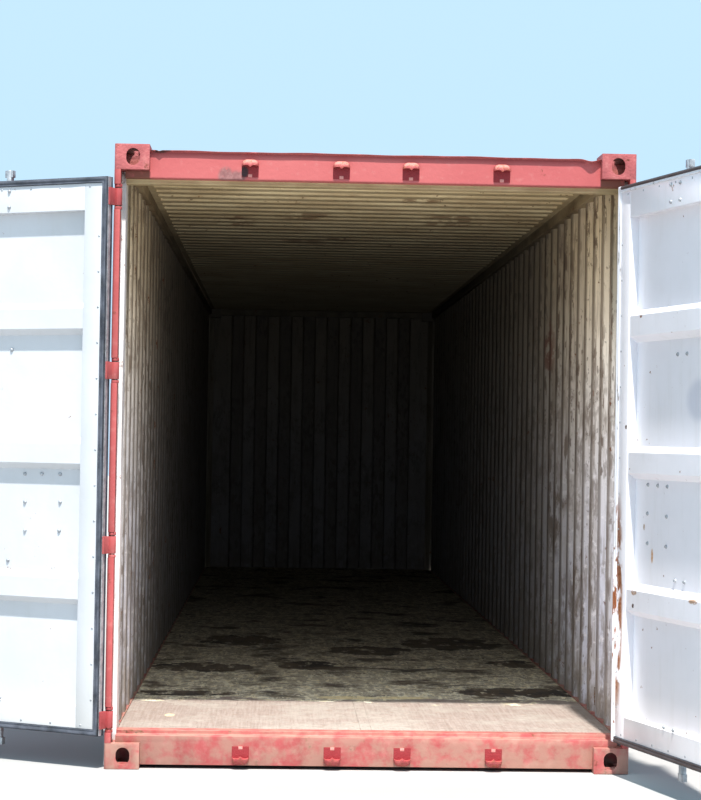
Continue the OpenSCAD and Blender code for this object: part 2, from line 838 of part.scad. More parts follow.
// Sheet with three horizontal channels pressed towards the cargo side.
module leaf_panel() {
  base = leaf_base + leaf_bottom_rail;
  top = leaf_top - leaf_top_rail;
  line = concat([[base, 0]],
    [for (i = [-1 : 1]) let (z = mid_z + i * channel_pitch) each
      [[z - channel_half, 0], [z - channel_half + channel_slope, panel_depth],
       [z + channel_half - channel_slope, panel_depth], [z + channel_half, 0]]],
    [[top, 0]]);
  translate([panel_x0, leaf_y + panel_t / 2, 0]) rotate([90, 0, 90])
    linear_extrude(panel_x1 - panel_x0) rotate(90) mirror([0, 1])
      polygon(sheet_outline(line, panel_t, channel_slope, panel_depth));
}

module leaf_gasket() {
  run = leaf_edge - meeting_gap;
  rise = leaf_top - leaf_base;
  translate([meeting_gap, leaf_y + leaf_t, leaf_base]) difference() {
    cube([run, gasket_t, rise]);
    translate([gasket_w, -1, gasket_w]) cube([run - 2 * gasket_w, gasket_t + 2, rise - 2 * gasket_w]);
  }
}

rod_top = doorway_top + keeper_rise - keeper_cap - cam_gap;
rod_base = sill_base + keeper_base + keeper_cap + cam_gap;

// A lock rod with a flat cam at each end.
module lock_rod() {
  translate([0, 0, rod_base]) cylinder(r = rod_r, h = rod_top - rod_base, $fn = 48);
  for (z = [rod_base, rod_top - cam_h])
    translate([-cam_w / 2, -cam_d / 2, z]) cube([cam_w, cam_d, cam_h]);
}

module leaf_lock_rods() {
  for (x = [rod_inner, rod_outer]) translate([x, rod_y, 0]) lock_rod();
}

mid_z = leaf_top - channel_mid;
handle_z = mid_z - channel_pitch / 2 + handle_rise;
channel_half = channel_face / 2 + channel_slope;
guide_z = [leaf_base + guide_low, mid_z - channel_pitch + channel_half + guide_above,
  mid_z + channel_pitch - channel_half - guide_under, leaf_top - guide_top];

// A guide: a base plate on the leaf and a saddle round the rod.
module rod_guide() {
  outer = rod_r + guide_clear + guide_band;
  depth = rod_gap + rod_r;
  translate([0, 0, -guide_h / 2]) difference() {
    union() {
      translate([-guide_plate_w / 2, depth - guide_plate_t, 0])
        cube([guide_plate_w, guide_plate_t, guide_h]);
      intersection() {
        union() {
          cylinder(r = outer, h = guide_h, $fn = 48);
          translate([-outer, 0, 0]) cube([2 * outer, depth, guide_h]);
        }
        translate([-outer, -outer, 0]) cube([2 * outer, outer + depth, guide_h]);
      }
    }
    translate([0, 0, -eps]) cylinder(r = rod_r + guide_clear, h = guide_h + 2 * eps, $fn = 48);
  }
}

module leaf_rod_guides() {
  for (x = [rod_inner, rod_outer])
    for (z = guide_z) translate([x, rod_y, z]) rod_guide();
}

// A catch on the leaf: plate, arm below the handle's bar and a lip in front of it.
module handle_catch() {
  depth = rod_gap + rod_r;
  front = -2 * catch_t;
  under = -handle_h / 2 - 2 * catch_t;
  translate([-catch_w / 2, depth - catch_t, under]) cube([catch_w, catch_t, handle_h]);
  translate([-catch_w / 4, front, under]) cube([catch_w / 2, depth - front, catch_t]);
  translate([-catch_w / 4, front, under]) cube([catch_w / 2, catch_t, handle_h / 2]);
}

// Handles: a hub clamped round the rod, a flat bar towards the hinge side and its catch.
module leaf_handles() {
  hub_clear = 0.3;
  for (x = [rod_inner, rod_outer]) translate([x, rod_y, handle_z]) {
    difference() {
      union() {
        translate([0, 0, -handle_h / 2]) cylinder(r = rod_r + hub_t, h = handle_h, $fn = 48);
        translate([0, 0, -handle_h / 2]) cube([handle_l, handle_t, handle_h]);
      }
      translate([0, 0, -handle_h]) cylinder(r = rod_r + hub_clear, h = 2 * handle_h, $fn = 48);
    }
    translate([handle_l - catch_w, 0, 0]) handle_catch();
  }
}

// Hinge blades: a barrel round the pin and an arm welded on the edge of the leaf.
module leaf_hinge_blades() {
  edge = leaf_edge - pin_x;
  for (i = [0 : 3]) translate([pin_x, pin_y, hinge_z(i) - blade_h / 2]) difference() {
    union() {
      cylinder(r = barrel_r, h = blade_h, $fn = 48);
      translate([edge, 0, 0]) cube([blade_t, blade_end - pin_depth, blade_h]);
    }
    translate([0, 0, -eps]) cylinder(r = pin_r + pin_clear, h = blade_h + 2 * eps, $fn = 48);
  }
}

module right_side(c) { color(c) right_leaf(right_open) children(); }
module left_side(c) { color(c) mirror([1, 0, 0]) right_leaf(left_open) children(); }

top_corner_castings();
bottom_corner_castings();
left_rear_post();
right_rear_post();
left_front_post();
right_front_post();
door_header();
door_sill();
cam_keepers();
hinge_lugs();
hinge_pins();
front_top_rail();
front_bottom_rail();
left_top_side_rail();
right_top_side_rail();
left_bottom_side_rail();
right_bottom_side_rail();
left_side_wall();
right_side_wall();
front_wall();
roof();
floor_boards();
floor_centre_strip();
cross_members();
gooseneck_tunnel();
tunnel_outriggers();
ventilators();
lashing_rings();
left_side(WHITE) leaf_stiles();  // left_door_stiles
left_side(WHITE) leaf_rails();  // left_door_rails
left_side(WHITE) leaf_panel();  // left_door_panel
left_side(RUBBER) leaf_gasket();  // left_door_gasket
left_side(STEEL) leaf_lock_rods();  // left_door_lock_rods
left_side(RED) leaf_rod_guides();  // left_door_rod_guides
left_side(STEEL) leaf_handles();  // left_door_handles
left_side(RED) leaf_hinge_blades();  // left_door_hinge_blades
right_side(WHITE) leaf_stiles();  // right_door_stiles
right_side(WHITE) leaf_rails();  // right_door_rails
right_side(WHITE) leaf_panel();  // right_door_panel
right_side(RUBBER) leaf_gasket();  // right_door_gasket
right_side(STEEL) leaf_lock_rods();  // right_door_lock_rods
right_side(RED) leaf_rod_guides();  // right_door_rod_guides
right_side(STEEL) leaf_handles();  // right_door_handles
right_side(RED) leaf_hinge_blades();  // right_door_hinge_blades
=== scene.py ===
import json
import math

import bmesh
import bpy
import numpy as np
from mathutils import Matrix, Vector


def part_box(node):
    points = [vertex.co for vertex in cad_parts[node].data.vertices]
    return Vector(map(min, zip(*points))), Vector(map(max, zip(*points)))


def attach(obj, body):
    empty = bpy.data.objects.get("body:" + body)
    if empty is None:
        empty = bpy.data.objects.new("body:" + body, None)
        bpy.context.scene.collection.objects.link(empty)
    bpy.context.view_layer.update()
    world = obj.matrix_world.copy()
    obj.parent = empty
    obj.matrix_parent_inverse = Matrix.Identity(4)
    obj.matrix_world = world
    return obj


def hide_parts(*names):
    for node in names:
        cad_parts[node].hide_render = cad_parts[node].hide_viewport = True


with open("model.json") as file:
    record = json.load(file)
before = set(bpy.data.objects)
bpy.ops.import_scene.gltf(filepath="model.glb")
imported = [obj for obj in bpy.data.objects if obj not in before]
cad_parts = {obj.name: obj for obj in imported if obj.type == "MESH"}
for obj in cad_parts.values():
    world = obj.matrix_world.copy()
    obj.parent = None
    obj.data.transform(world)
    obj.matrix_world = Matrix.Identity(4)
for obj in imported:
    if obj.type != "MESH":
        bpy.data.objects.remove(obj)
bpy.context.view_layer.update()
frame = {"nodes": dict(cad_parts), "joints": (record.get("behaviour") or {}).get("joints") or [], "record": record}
node = frame["nodes"]
scene = bpy.context.scene

# The studio: a camera at eye height in front of the open doors, a plain pale floor, one high
# key light from behind the camera's shoulder, a soft fill that shines in at the doorway and
# an even pale sky. The floor and the lights are not part of the container.
eye = Vector((-0.44, -15.68, 1.55))
yaw, pitch, roll = math.radians(2.0), math.radians(1.03), math.radians(0.92)
ahead = Vector((math.sin(yaw) * math.cos(pitch), math.cos(yaw) * math.cos(pitch), math.sin(pitch)))
level = Vector((math.cos(yaw), -math.sin(yaw), 0.0))
above = level.cross(ahead)
aside = math.cos(roll) * level + math.sin(roll) * above
upward = -math.sin(roll) * level + math.cos(roll) * above
photo_height, focal_length = 800.0, 2062.0
camera_data = bpy.data.cameras.new("door_end_camera")
camera_data.sensor_width = 36.0
camera_data.lens = focal_length / photo_height * camera_data.sensor_width
camera_data.clip_end = 200.0
camera = bpy.data.objects.new("door_end_camera", camera_data)
turn = Matrix((aside, upward, -ahead)).transposed().to_4x4()
camera.matrix_world = Matrix.Translation(eye) @ turn
scene.collection.objects.link(camera)
scene.camera = camera
scene.view_settings.view_transform = "Standard"
scene.view_settings.exposure = 0.15
scene.view_settings.gamma = 0.86

key_data = bpy.data.lights.new("key_light", "SUN")
key_data.energy = 5.7
key_data.angle = math.radians(1.6)
key_data.color = (1.0, 0.97, 0.92)
key = bpy.data.objects.new("key_light", key_data)
key_height = math.radians(65.6)
key_from = Vector((0.02, -math.cos(key_height), math.sin(key_height)))
key.matrix_world = key_from.to_track_quat("Z", "Y").to_matrix().to_4x4()
scene.collection.objects.link(key)

fill_data = bpy.data.lights.new("doorway_fill", "AREA")
fill_data.shape = "RECTANGLE"
fill_data.size = 2.15
fill_data.size_y = 2.35
fill_data.energy = 18.0
fill_data.color = (1.0, 0.98, 0.96)
fill = bpy.data.objects.new("doorway_fill", fill_data)
fill_turn = Matrix.Rotation(math.radians(70), 4, "X")
fill.matrix_world = Matrix.Translation((0.0, -5.98, 1.46)) @ fill_turn
fill.visible_camera = False
scene.collection.objects.link(fill)

sky = bpy.data.worlds.new("studio_sky")
sky.use_nodes = True
sky_glow = sky.node_tree.nodes["Background"]
sky_glow.inputs["Color"].default_value = (0.60, 0.82, 1.0, 1.0)
sky_glow.inputs["Strength"].default_value = 0.95
scene.world = sky

ground_reach, ground_z = 60, -0.002
ground_corners = [(x * ground_reach, y * ground_reach, ground_z)
                  for x, y in ((-1, -1), (1, -1), (1, 1), (-1, 1))]
ground_mesh = bpy.data.meshes.new("studio_floor")
ground_mesh.from_pydata(ground_corners, [], [(0, 1, 2, 3)])
ground = bpy.data.objects.new("studio_floor", ground_mesh)
ground_paint = bpy.data.materials.new("studio_floor")
ground_paint.use_nodes = True
ground_shader = ground_paint.node_tree.nodes["Principled BSDF"]
ground_shader.inputs["Base Color"].default_value = (0.43, 0.423, 0.41, 1)
ground_shader.inputs["Roughness"].default_value = 0.9
ground_mesh.materials.append(ground_paint)
scene.collection.objects.link(ground)

# Corner castings: eight cast steel boxes with lifting slots and side holes, welded to the
# ends of the posts. Cast faces are slightly rounded and rough under the frame's faded red.
body_of_node = {}
for body, members in frame["record"]["behaviour"]["bodies"].items():
    for name in members:
        body_of_node[name] = body


class Coat:
    """A finish: a shader on Object coordinates, in metres."""

    def __init__(self, name, metallic=0.0, gloss=0.5):
        """A new material, with the place on the part and the way its face looks as inputs."""
        self.material = bpy.data.materials.new(name)
        self.material.use_nodes = True
        self.tree = self.material.node_tree
        self.shader = self.tree.nodes["Principled BSDF"]
        self.shader.inputs["Metallic"].default_value = metallic
        self.shader.inputs["Specular IOR Level"].default_value = gloss
        coords = self.tree.nodes.new("ShaderNodeTexCoord")
        self.place = coords.outputs["Object"]
        self.facing = coords.outputs["Normal"]

    def step(self, kind, values, **settings):
        """One node of a kind, its settings made and each input joined to a step or set."""
        made = self.tree.nodes.new(kind)
        for key_word, value in settings.items():
            setattr(made, key_word, value)
        for socket, value in values.items():
            if isinstance(value, bpy.types.NodeSocket):
                self.tree.links.new(value, made.inputs[socket])
            else:
                made.inputs[socket].default_value = value
        return made

    def spread(self, value, low, high):
        """0 at low, 1 at high, and smooth between."""
        return self.step("ShaderNodeMapRange", {0: value, 1: low, 2: high},
                         interpolation_type="SMOOTHSTEP").outputs[0]

    def axis(self, letter, vector=None):
        """One coordinate of a vector, or of the place on the part."""
        parts = self.step("ShaderNodeSeparateXYZ", {0: vector or self.place})
        return parts.outputs["XYZ".index(letter)]

    def towards(self, vector, direction):
        """How far a vector goes along a direction."""
        values = {0: vector, 1: direction}
        return self.step("ShaderNodeVectorMath", values, operation="DOT_PRODUCT").outputs["Value"]

    def along(self, letter, low, high):
        """0 to 1 between two places on an axis."""
        return self.spread(self.axis(letter), low, high)

    def looking(self, letter, low, high):
        """0 to 1 as the face turns from or towards an axis."""
        return self.spread(self.axis(letter, self.facing), low, high)

    def looking_in(self):
        """1 on faces that look sideways or from the front end into the cargo space."""
        sideways = self.signed(self.axis("X"), self.axis("X", self.facing))
        return self.either(self.spread(sideways, -0.2, -0.4), self.looking("Y", -0.2, -0.4))

    def off_middle(self, letter, low, high):
        """0 to 1 between two distances from the middle plane, on both sides of it."""
        place = self.axis(letter)
        return self.spread(self.signed(place, place), low ** 2, high ** 2)

    def grain(self, size, low=0.35, high=0.65, stretch=(1, 1, 1), shift=0.0, turned=0.0,
              detail=4.0):
        """Cloudy noise of one grain size in metres, stretched along each axis, shifted and
        turned, and spread from 0 to 1 between two of its levels."""
        moved = self.step("ShaderNodeMapping", {
            "Vector": self.place, "Scale": [1.0 / (size * s) for s in stretch],
            "Rotation": (0, 0, turned), "Location": (shift, shift * 0.7, shift * 1.3)})
        noise = self.step("ShaderNodeTexNoise", {
            "Vector": moved.outputs[0], "Scale": 1.0, "Detail": detail, "Roughness": 0.6})
        return self.spread(noise.outputs["Fac"], low, high)

    def signed(self, first, second):
        """Product of two values that may be below zero or above one."""
        return self.step("ShaderNodeMath", {0: first, 1: second}, operation="MULTIPLY").outputs[0]

    def added(self, first, second):
        """Sum of two values that may be below zero or above one."""
        return self.step("ShaderNodeMath", {0: first, 1: second}, operation="ADD").outputs[0]

    def joined(self, operation, values):
        """Values put together one after the other, kept between 0 and 1."""
        total = values[0]
        for value in values[1:]:
            total = self.step("ShaderNodeMath", {0: total, 1: value}, operation=operation,
                              use_clamp=True).outputs[0]
        return total

    def both(self, *values):
        """Product of values, so 1 where all of them are 1."""
        return self.joined("MULTIPLY", values)

    def either(self, *values):
        """The largest of some values, so 1 where one of them is 1."""
        return self.joined("MAXIMUM", values)

    def sum(self, *values):
        """Sum of values, never above 1."""
        return self.joined("ADD", values)

    def near(self, centre, reach):
        """1 inside an ellipsoid about a centre, fading to 0 at its reach along each axis."""
        scale = [1.0 / r for r in reach]
        shift = [-c / r for c, r in zip(centre, reach)]
        local = self.step("ShaderNodeMapping",
                          {"Vector": self.place, "Scale": scale, "Location": shift})
        length = self.step("ShaderNodeVectorMath", {0: local.outputs[0]}, operation="LENGTH")
        return self.spread(length.outputs["Value"], 1.0, 0.55)

    def tint(self, share, first, second):
        """The first colour where the share is 0 and the second where it is 1."""
        first, second = (c if isinstance(c, bpy.types.NodeSocket) else (*c, 1.0)
                         for c in (first, second))
        mix = self.step("ShaderNodeMix", {0: share, 6: first, 7: second}, data_type="RGBA")
        return mix.outputs[2]

    def over(self, colour, *rows):
        """Tones laid over a colour in turn. A row ends in its tone, and the product of the
        masks and shares before it says how much of the tone is laid."""
        for *shares, tone in rows:
            colour = self.tint(self.both(*shares), colour, tone)
        return colour

    def mottled(self, size, first, second, *levels):
        """Two colours in clouds of one size, with the levels that grain() takes."""
        return self.tint(self.grain(size, *(levels or (0.3, 0.7))), first, second)

    def level(self, share, first, second):
        """The first number where the share is 0 and the second where it is 1."""
        mix = self.step("ShaderNodeMix", {0: share, 2: first, 3: second}, data_type="FLOAT")
        return mix.outputs[0]

    def finish(self, colour, roughness, height, depth):
        """Joins colour and roughness to the shader, and relief of a height times a depth."""
        bump = self.step("ShaderNodeBump", {"Height": height, "Distance": depth, "Strength": 0.8})
        for socket, value in (("Base Color", colour), ("Roughness", roughness),
                              ("Normal", bump.outputs[0])):
            self.tree.links.new(value, self.shader.inputs[socket])
        return self.material


rust_dark = (0.085, 0.035, 0.018)
rust_warm = (0.25, 0.085, 0.03)
old_reds = (0.4, 0.085, 0.088), (0.49, 0.13, 0.128)


def weather(coat, colour, amount, drip=True):
    """Adds rust to a colour: cloudy spots, broken by fine grain, and thin runs below them."""
    spots = coat.both(coat.grain(0.11, 0.66 - amount, 0.74 - amount, shift=3.1),
                      coat.grain(0.012, 0.42, 0.58, shift=9.4))
    if drip:
        colour = coat.over(colour, (coat.grain(0.03, 0.6, 0.75, (1, 1, 14), 5.2),
                                    coat.grain(0.25, 0.5, 0.7, shift=2.2),
                                    0.35 + amount, (0.22, 0.11, 0.07)))
    tone = coat.tint(coat.grain(0.02, 0.3, 0.7, shift=1.7), rust_dark, rust_warm)
    return coat.tint(spots, colour, tone), spots


def pitted(coat, spots):
    """Relief of orange peel in the paint, with the rust spots standing out."""
    return coat.sum(coat.both(coat.grain(0.02, 0.3, 0.7), 0.4), coat.both(spots, 0.5))


def faded_red(name, amount, low_dust=0.0):
    """Chalky red enamel: two reds in large clouds, paler rubs, rust and a dusty foot."""
    coat = Coat(name, gloss=0.28)
    base = coat.over(coat.mottled(0.7, *old_reds),
                     (coat.grain(0.06, 0.5, 0.72), 0.5, (0.58, 0.25, 0.23)),
                     (coat.grain(0.2, 0.52, 0.7, (1, 1, 5), 7.7), 0.4, (0.27, 0.07, 0.065)))
    colour, spots = weather(coat, base, amount)
    if low_dust:
        colour = coat.over(colour, (coat.along("Z", 0.5, 0.05), coat.grain(0.08, 0.3, 0.6),
                                    low_dust, (0.4, 0.33, 0.25)))
    return coat.finish(colour, coat.level(spots, 0.46, 0.9), pitted(coat, spots), 0.0012)


def paint(names, material):
    """Gives CAD nodes a finish in place of their plain one."""
    for name in names:
        node[name].data.materials.clear()
        node[name].data.materials.append(material)


def add_piece(name, mesh, body, material, stands_for=()):
    """Puts a mesh in the scene as a piece that rides on a body and hides the nodes it stands for."""
    piece = bpy.data.objects.new(name, mesh)
    scene.collection.objects.link(piece)
    mesh.materials.clear()
    mesh.materials.append(material)
    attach(piece, body)
    if stands_for:
        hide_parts(*stands_for)
    return piece


def eased(name, material, width, segments=2):
    """A node's own shape with its edges rounded: a merged copy with a bevel on every
    edge sharper than 30 degrees. It stands for the node."""
    mesh = node[name].data.copy()
    shape = bmesh.new()
    shape.from_mesh(mesh)
    bmesh.ops.remove_doubles(shape, verts=shape.verts, dist=1e-5)
    bmesh.ops.dissolve_limit(shape, angle_limit=math.radians(1), verts=shape.verts,
                             edges=shape.edges)
    shape.to_mesh(mesh)
    shape.free()
    mesh.shade_smooth()
    piece = add_piece(name + "_eased", mesh, body_of_node[name], material,
                      (name,))
    bevel = piece.modifiers.new("edge_round", "BEVEL")
    bevel.width = width
    bevel.segments = segments
    bevel.limit_method = "ANGLE"
    bevel.angle_limit = math.radians(30)
    bevel.harden_normals = True
    return piece


def casting_paint():
    """The faded red, brown dirt on the front pair's inward faces that is deepened as painted
    shade of the far end, and rust in the hollows of the door end's pair, with painted shade
    making them darker at the top."""
    coat = Coat("casting_red", gloss=0.28)
    base = coat.over(coat.mottled(0.7, (0.45, 0.135, 0.135), (0.54, 0.19, 0.185)),
                     (coat.grain(0.05, 0.5, 0.72), 0.5, (0.6, 0.25, 0.23)))
    colour, spots = weather(coat, base, 0.03)
    # Dirt and painted shade: the front pair's inward and downward faces are dark brown.
    front = coat.along("Y", 5.0, 5.1)
    inward = coat.either(coat.looking_in(), coat.looking("Z", -0.5, -0.7))
    cavity = coat.both(coat.off_middle("X", 1.212, 1.209), coat.off_middle("X", 1.062, 1.066),
                       coat.both(coat.off_middle("Y", 6.087, 6.083),
                                 coat.off_middle("Y", 5.93, 5.935)),
                       coat.both(coat.along("Z", 2.782, 2.788), coat.along("Z", 2.89, 2.886)))
    # Painted shade: the hollows' rust darkens towards their tops.
    hollow_rust_and_shade = coat.tint(coat.along("Z", 2.852, 2.836), (0.055, 0.028, 0.022), (0.42, 0.2, 0.14))
    colour = coat.over(colour, (front, inward, (0.12, 0.1, 0.075)), (cavity, 0.9, hollow_rust_and_shade))
    return coat.finish(colour, coat.level(spots, 0.5, 0.9), coat.grain(0.012, 0.3, 0.7), 0.0012)


eased("top_corner_castings", casting_paint(), 0.004, 3)
eased("bottom_corner_castings", faded_red("lower_casting_red", 0.05, 0.6), 0.004, 3)

# Corner posts: pressed steel posts at the four corners. The rear pair are stepped round
# the door leaf, and carry the hinges in notches of their front lip. The lip is red, and
# the shoulder and jamb behind it have the cargo side's pale paint, scraped to rust.


def post_paint(name, side):
    """Red enamel on the outside and lip, pale paint on shoulder and jamb, rust between."""
    coat = Coat(name, gloss=0.28)
    red = coat.over(coat.mottled(0.5, (0.42, 0.095, 0.095), (0.49, 0.13, 0.125)),
                    (coat.grain(0.05, 0.5, 0.75), 0.5, (0.55, 0.24, 0.22)))
    pale = coat.mottled(0.12, (0.88, 0.83, 0.83), (0.66, 0.6, 0.57), 0.35, 0.7, (1, 1, 4))
    behind = coat.along("Y", -6.036, -6.032)
    outward = coat.signed(coat.axis("X", coat.facing), side)
    inward = coat.spread(coat.signed(coat.axis("X"), side), 1.2145, 1.2125)
    share = coat.both(behind, inward, coat.spread(outward, 0.6, 0.4))
    colour, spots = weather(coat, coat.tint(share, red, pale), 0.04)
    worn = coat.both(coat.near((side * 1.19, -6.0, 0.95), (0.08, 0.15, 0.55)),
                     coat.grain(0.06, 0.45, 0.55, shift=4), share)
    colour = coat.over(colour, (worn, 1.0 if side > 0 else 0.15, rust_warm))
    return coat.finish(colour, coat.level(spots, 0.5, 0.92), pitted(coat, spots), 0.0012)


eased("left_rear_post", post_paint("left_post_paint", -1), 0.003)
eased("right_rear_post", post_paint("right_post_paint", 1), 0.003)


def front_post_paint():
    """Red outside, and the cargo side's pale dirty paint on the faces that look inward."""
    coat = Coat("front_post_paint", gloss=0.28)
    pale = coat.mottled(0.1, (0.4, 0.36, 0.3), (0.22, 0.19, 0.14), 0.35, 0.65, (1, 1, 8))
    base = coat.tint(coat.looking_in(), coat.mottled(0.6, *old_reds), pale)
    colour, spots = weather(coat, base, 0.03)
    return coat.finish(colour, coat.level(spots, 0.55, 0.9), coat.grain(0.02), 0.001)


front_post_finish = front_post_paint()
eased("left_front_post", front_post_finish, 0.004)
eased("right_front_post", front_post_finish, 0.004)

# Door header: a folded steel box between the top castings, with a thin rolled lip over
# its face. The lip is bent down beside the right casting and nicked beside the left one,
# and the paint is scraped off beside the first keeper. The face is set back behind the doors.
header_low, header_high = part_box("door_header")
lip_top = header_high.z
lip_deep, lip_thick = 0.014, 0.0055
face_y = header_low.y + lip_deep
doorway_top = lip_top - 0.130
shoulder_y, shoulder_z = -5.992, doorway_top - 0.020


def cells(index):
    """Corners of each cell between neighbouring rows and columns of an index grid."""
    corners = [index[:-1, :-1], index[:-1, 1:], index[1:, 1:], index[1:, :-1]]
    return np.stack(corners, axis=-1).reshape(-1, 4)


def closed_mesh(name, points, faces):
    """A mesh from points and faces, with its faces turned outwards."""
    mesh = bpy.data.meshes.new(name)
    mesh.from_pydata(points.reshape(-1, 3).tolist(), [], faces)
    shape = bmesh.new()
    shape.from_mesh(mesh)
    bmesh.ops.recalc_face_normals(shape, faces=shape.faces)
    shape.to_mesh(mesh)
    shape.free()
    return mesh


def carried(name, grid, ring=False):
    """An outline carried along: a grid of points with stations as rows, whose last column
    joins the first. A ring's last row joins the first too, and else both ends are capped."""
    rows, columns = grid.shape[:2]
    index = np.arange(rows * columns).reshape(rows, columns)
    ends = [] if ring else [index[0][::-1].tolist(), index[-1].tolist()]
    index = np.concatenate([index, index[:, :1]], axis=1)
    if ring:
        index = np.concatenate([index, index[:1]], axis=0)
    return closed_mesh(name, grid, cells(index).tolist() + ends)


def rounded(corners, radius, steps=4):
    """A closed outline with each corner cut by an arc: points that run from a distance
    before the corner to the same distance after it, on a quadratic curve."""
    corners = np.array(corners, float)
    before = np.roll(corners, 1, axis=0) - corners
    after = np.roll(corners, -1, axis=0) - corners
    before_length, after_length = (np.linalg.norm(v, axis=1)[:, None] for v in (before, after))
    reach = np.minimum(radius, 0.45 * np.minimum(before_length, after_length))
    start = corners + before / before_length * reach
    end = corners + after / after_length * reach
    t = np.linspace(0, 1, steps)[None, :, None]
    curve = ((1 - t) ** 2 * start[:, None] + 2 * t * (1 - t) * corners[:, None]
             + t ** 2 * end[:, None])
    return curve.reshape(-1, 2)


def drawn(stations, outline):
    """A grid of points: an outline in y and z at each station along x."""
    grid = np.empty((len(stations), len(outline), 3))
    grid[..., 0] = stations[:, None]
    grid[..., 1:] = outline[None]
    return grid


def header_mesh():
    """Outline of the box in y and z carried across x. The lip's points sink by a bell curve
    at each dent, and the whole lip waves by 2 mm."""
    back_y, lip_y, lip_low = header_high.y, face_y - lip_deep, lip_top - lip_thick
    outline = rounded([(face_y, doorway_top), (shoulder_y, doorway_top), (shoulder_y, shoulder_z),
                       (back_y, shoulder_z), (back_y, lip_top), (lip_y, lip_top),
                       (lip_y, lip_low), (face_y, lip_low)], 0.006)
    x = np.concatenate([np.linspace(-1.0565, -0.96, 60), np.linspace(-0.955, 0.94, 120),
                        np.linspace(0.945, 1.0565, 90)])
    grid = drawn(x, outline)
    y, z = outline.T
    on_lip = np.clip((face_y + 0.004 - y) / 0.016, 0, 1) * (z > lip_top - 0.02)
    near_lip = np.clip((z - lip_top + 0.02) / 0.02, 0, 1) * (y < face_y + 0.02)
    bend = 0.0105 * np.exp(-np.abs((x - 1.01) / 0.034) ** 2.2)
    bend += 0.0035 * np.exp(-((x + 1.014) / 0.01) ** 2)
    wave = 0.0012 * np.sin(x * 9.1 + 1.0) + 0.0008 * np.sin(x * 23.7)
    grid[..., 2] -= (bend + wave)[:, None] * on_lip + (0.25 * bend)[:, None] * near_lip
    grid[..., 1] -= (1.1 * bend)[:, None] * on_lip
    return carried("door_header_box", grid)


def header_paint():
    """The faded red, rust along the lip's rim, a painted shadow under the lip, a scraped grey patch beside
    the first keeper, a rusty nick near the left casting, painted shade under the castings, and the
    ceiling's dull tone on the cargo side."""
    coat = Coat("header_red", gloss=0.28)
    # Painted shadow: a dark red band on the face just below the lip, where the lip's shade falls.
    painted_lip_shadow = coat.both(coat.along("Z", lip_top - 0.035, lip_top - 0.004),
                      coat.along("Y", face_y - 0.002, face_y - 0.001))
    rim = coat.both(coat.along("Y", face_y - 0.009, face_y - 0.012), coat.grain(0.06, 0.25, 0.5))
    base = coat.mottled(0.5, (0.51, 0.138, 0.137), (0.57, 0.176, 0.17), 0.3, 0.7, (2, 1, 1))
    base = coat.over(base, (coat.grain(0.03, 0.55, 0.75), 0.35, (0.58, 0.26, 0.24)),
                     (painted_lip_shadow, 0.6, (0.2, 0.028, 0.032)), (rim, 0.75, (0.17, 0.045, 0.04)))
    colour, spots = weather(coat, base, -0.02)
    patch = coat.either(coat.near((-0.703, face_y, doorway_top + 0.014), (0.045, 0.04, 0.056)),
                        coat.near((-0.652, face_y, doorway_top + 0.008), (0.05, 0.04, 0.044)))
    patch = coat.both(patch, coat.grain(0.015, 0.25, 0.42))
    bared = coat.tint(coat.grain(0.02), (0.26, 0.135, 0.13), (0.36, 0.2, 0.19))
    nick = coat.both(coat.near((-1.01, face_y - 0.012, lip_top), (0.06, 0.03, 0.016)),
                     coat.grain(0.02, 0.35, 0.5))
    # Painted shade: the header's ends below the castings are darkened brown in patches.
    shade_under_casting = coat.both(coat.off_middle("X", 1.056, 1.06), coat.grain(0.03, 0.15, 0.45))
    inside = coat.both(coat.along("Y", -5.999, -5.996),
                       coat.along("Z", lip_top - 0.004, lip_top - 0.01))
    lining = coat.tint(coat.grain(0.08, stretch=(3, 1, 1)), (0.58, 0.48, 0.29), (0.44, 0.35, 0.2))
    colour = coat.over(colour, (patch, 0.9, bared), (nick, 0.9, (0.055, 0.03, 0.025)),
                       (shade_under_casting, 0.85, (0.19, 0.085, 0.055)), (inside, 0.95, lining))
    rough = coat.level(coat.either(spots, patch), 0.48, 0.85)
    return coat.finish(colour, rough, coat.both(coat.grain(0.02, 0.3, 0.7), 0.5), 0.001)


header_red = header_paint()
header_piece = add_piece("header_box", header_mesh(), "container", header_red,
                         ("door_header",))
header_piece.data.shade_flat()

# The header's ends go on below the castings as far as the posts.
casting_foot = 2.7775
end_outline = rounded([(face_y, doorway_top), (shoulder_y, doorway_top), (shoulder_y, shoulder_z),
                       (header_high.y, shoulder_z), (header_high.y, casting_foot),
                       (face_y, casting_foot)], 0.004, 3)
for side, word in ((-1, "left"), (1, "right")):
    name = f"header_end_{word}"
    end_mesh = carried(name, drawn(side * np.linspace(1.055, 1.1708, 4), end_outline))
    add_piece(name, end_mesh, "container", header_red)

# Cam keepers: steel castings welded on the header and the sill, which catch the lock rods'
# cams. Each is a domed brow with a pointed nib over a flat block with a small pad at its
# foot. There is room in front of the block for the cam and the rod's end.
keeper_half, keeper_height = 0.040, 0.084
brow_reach, block_reach, tongue_reach = 0.035, 0.0025, 0.0040


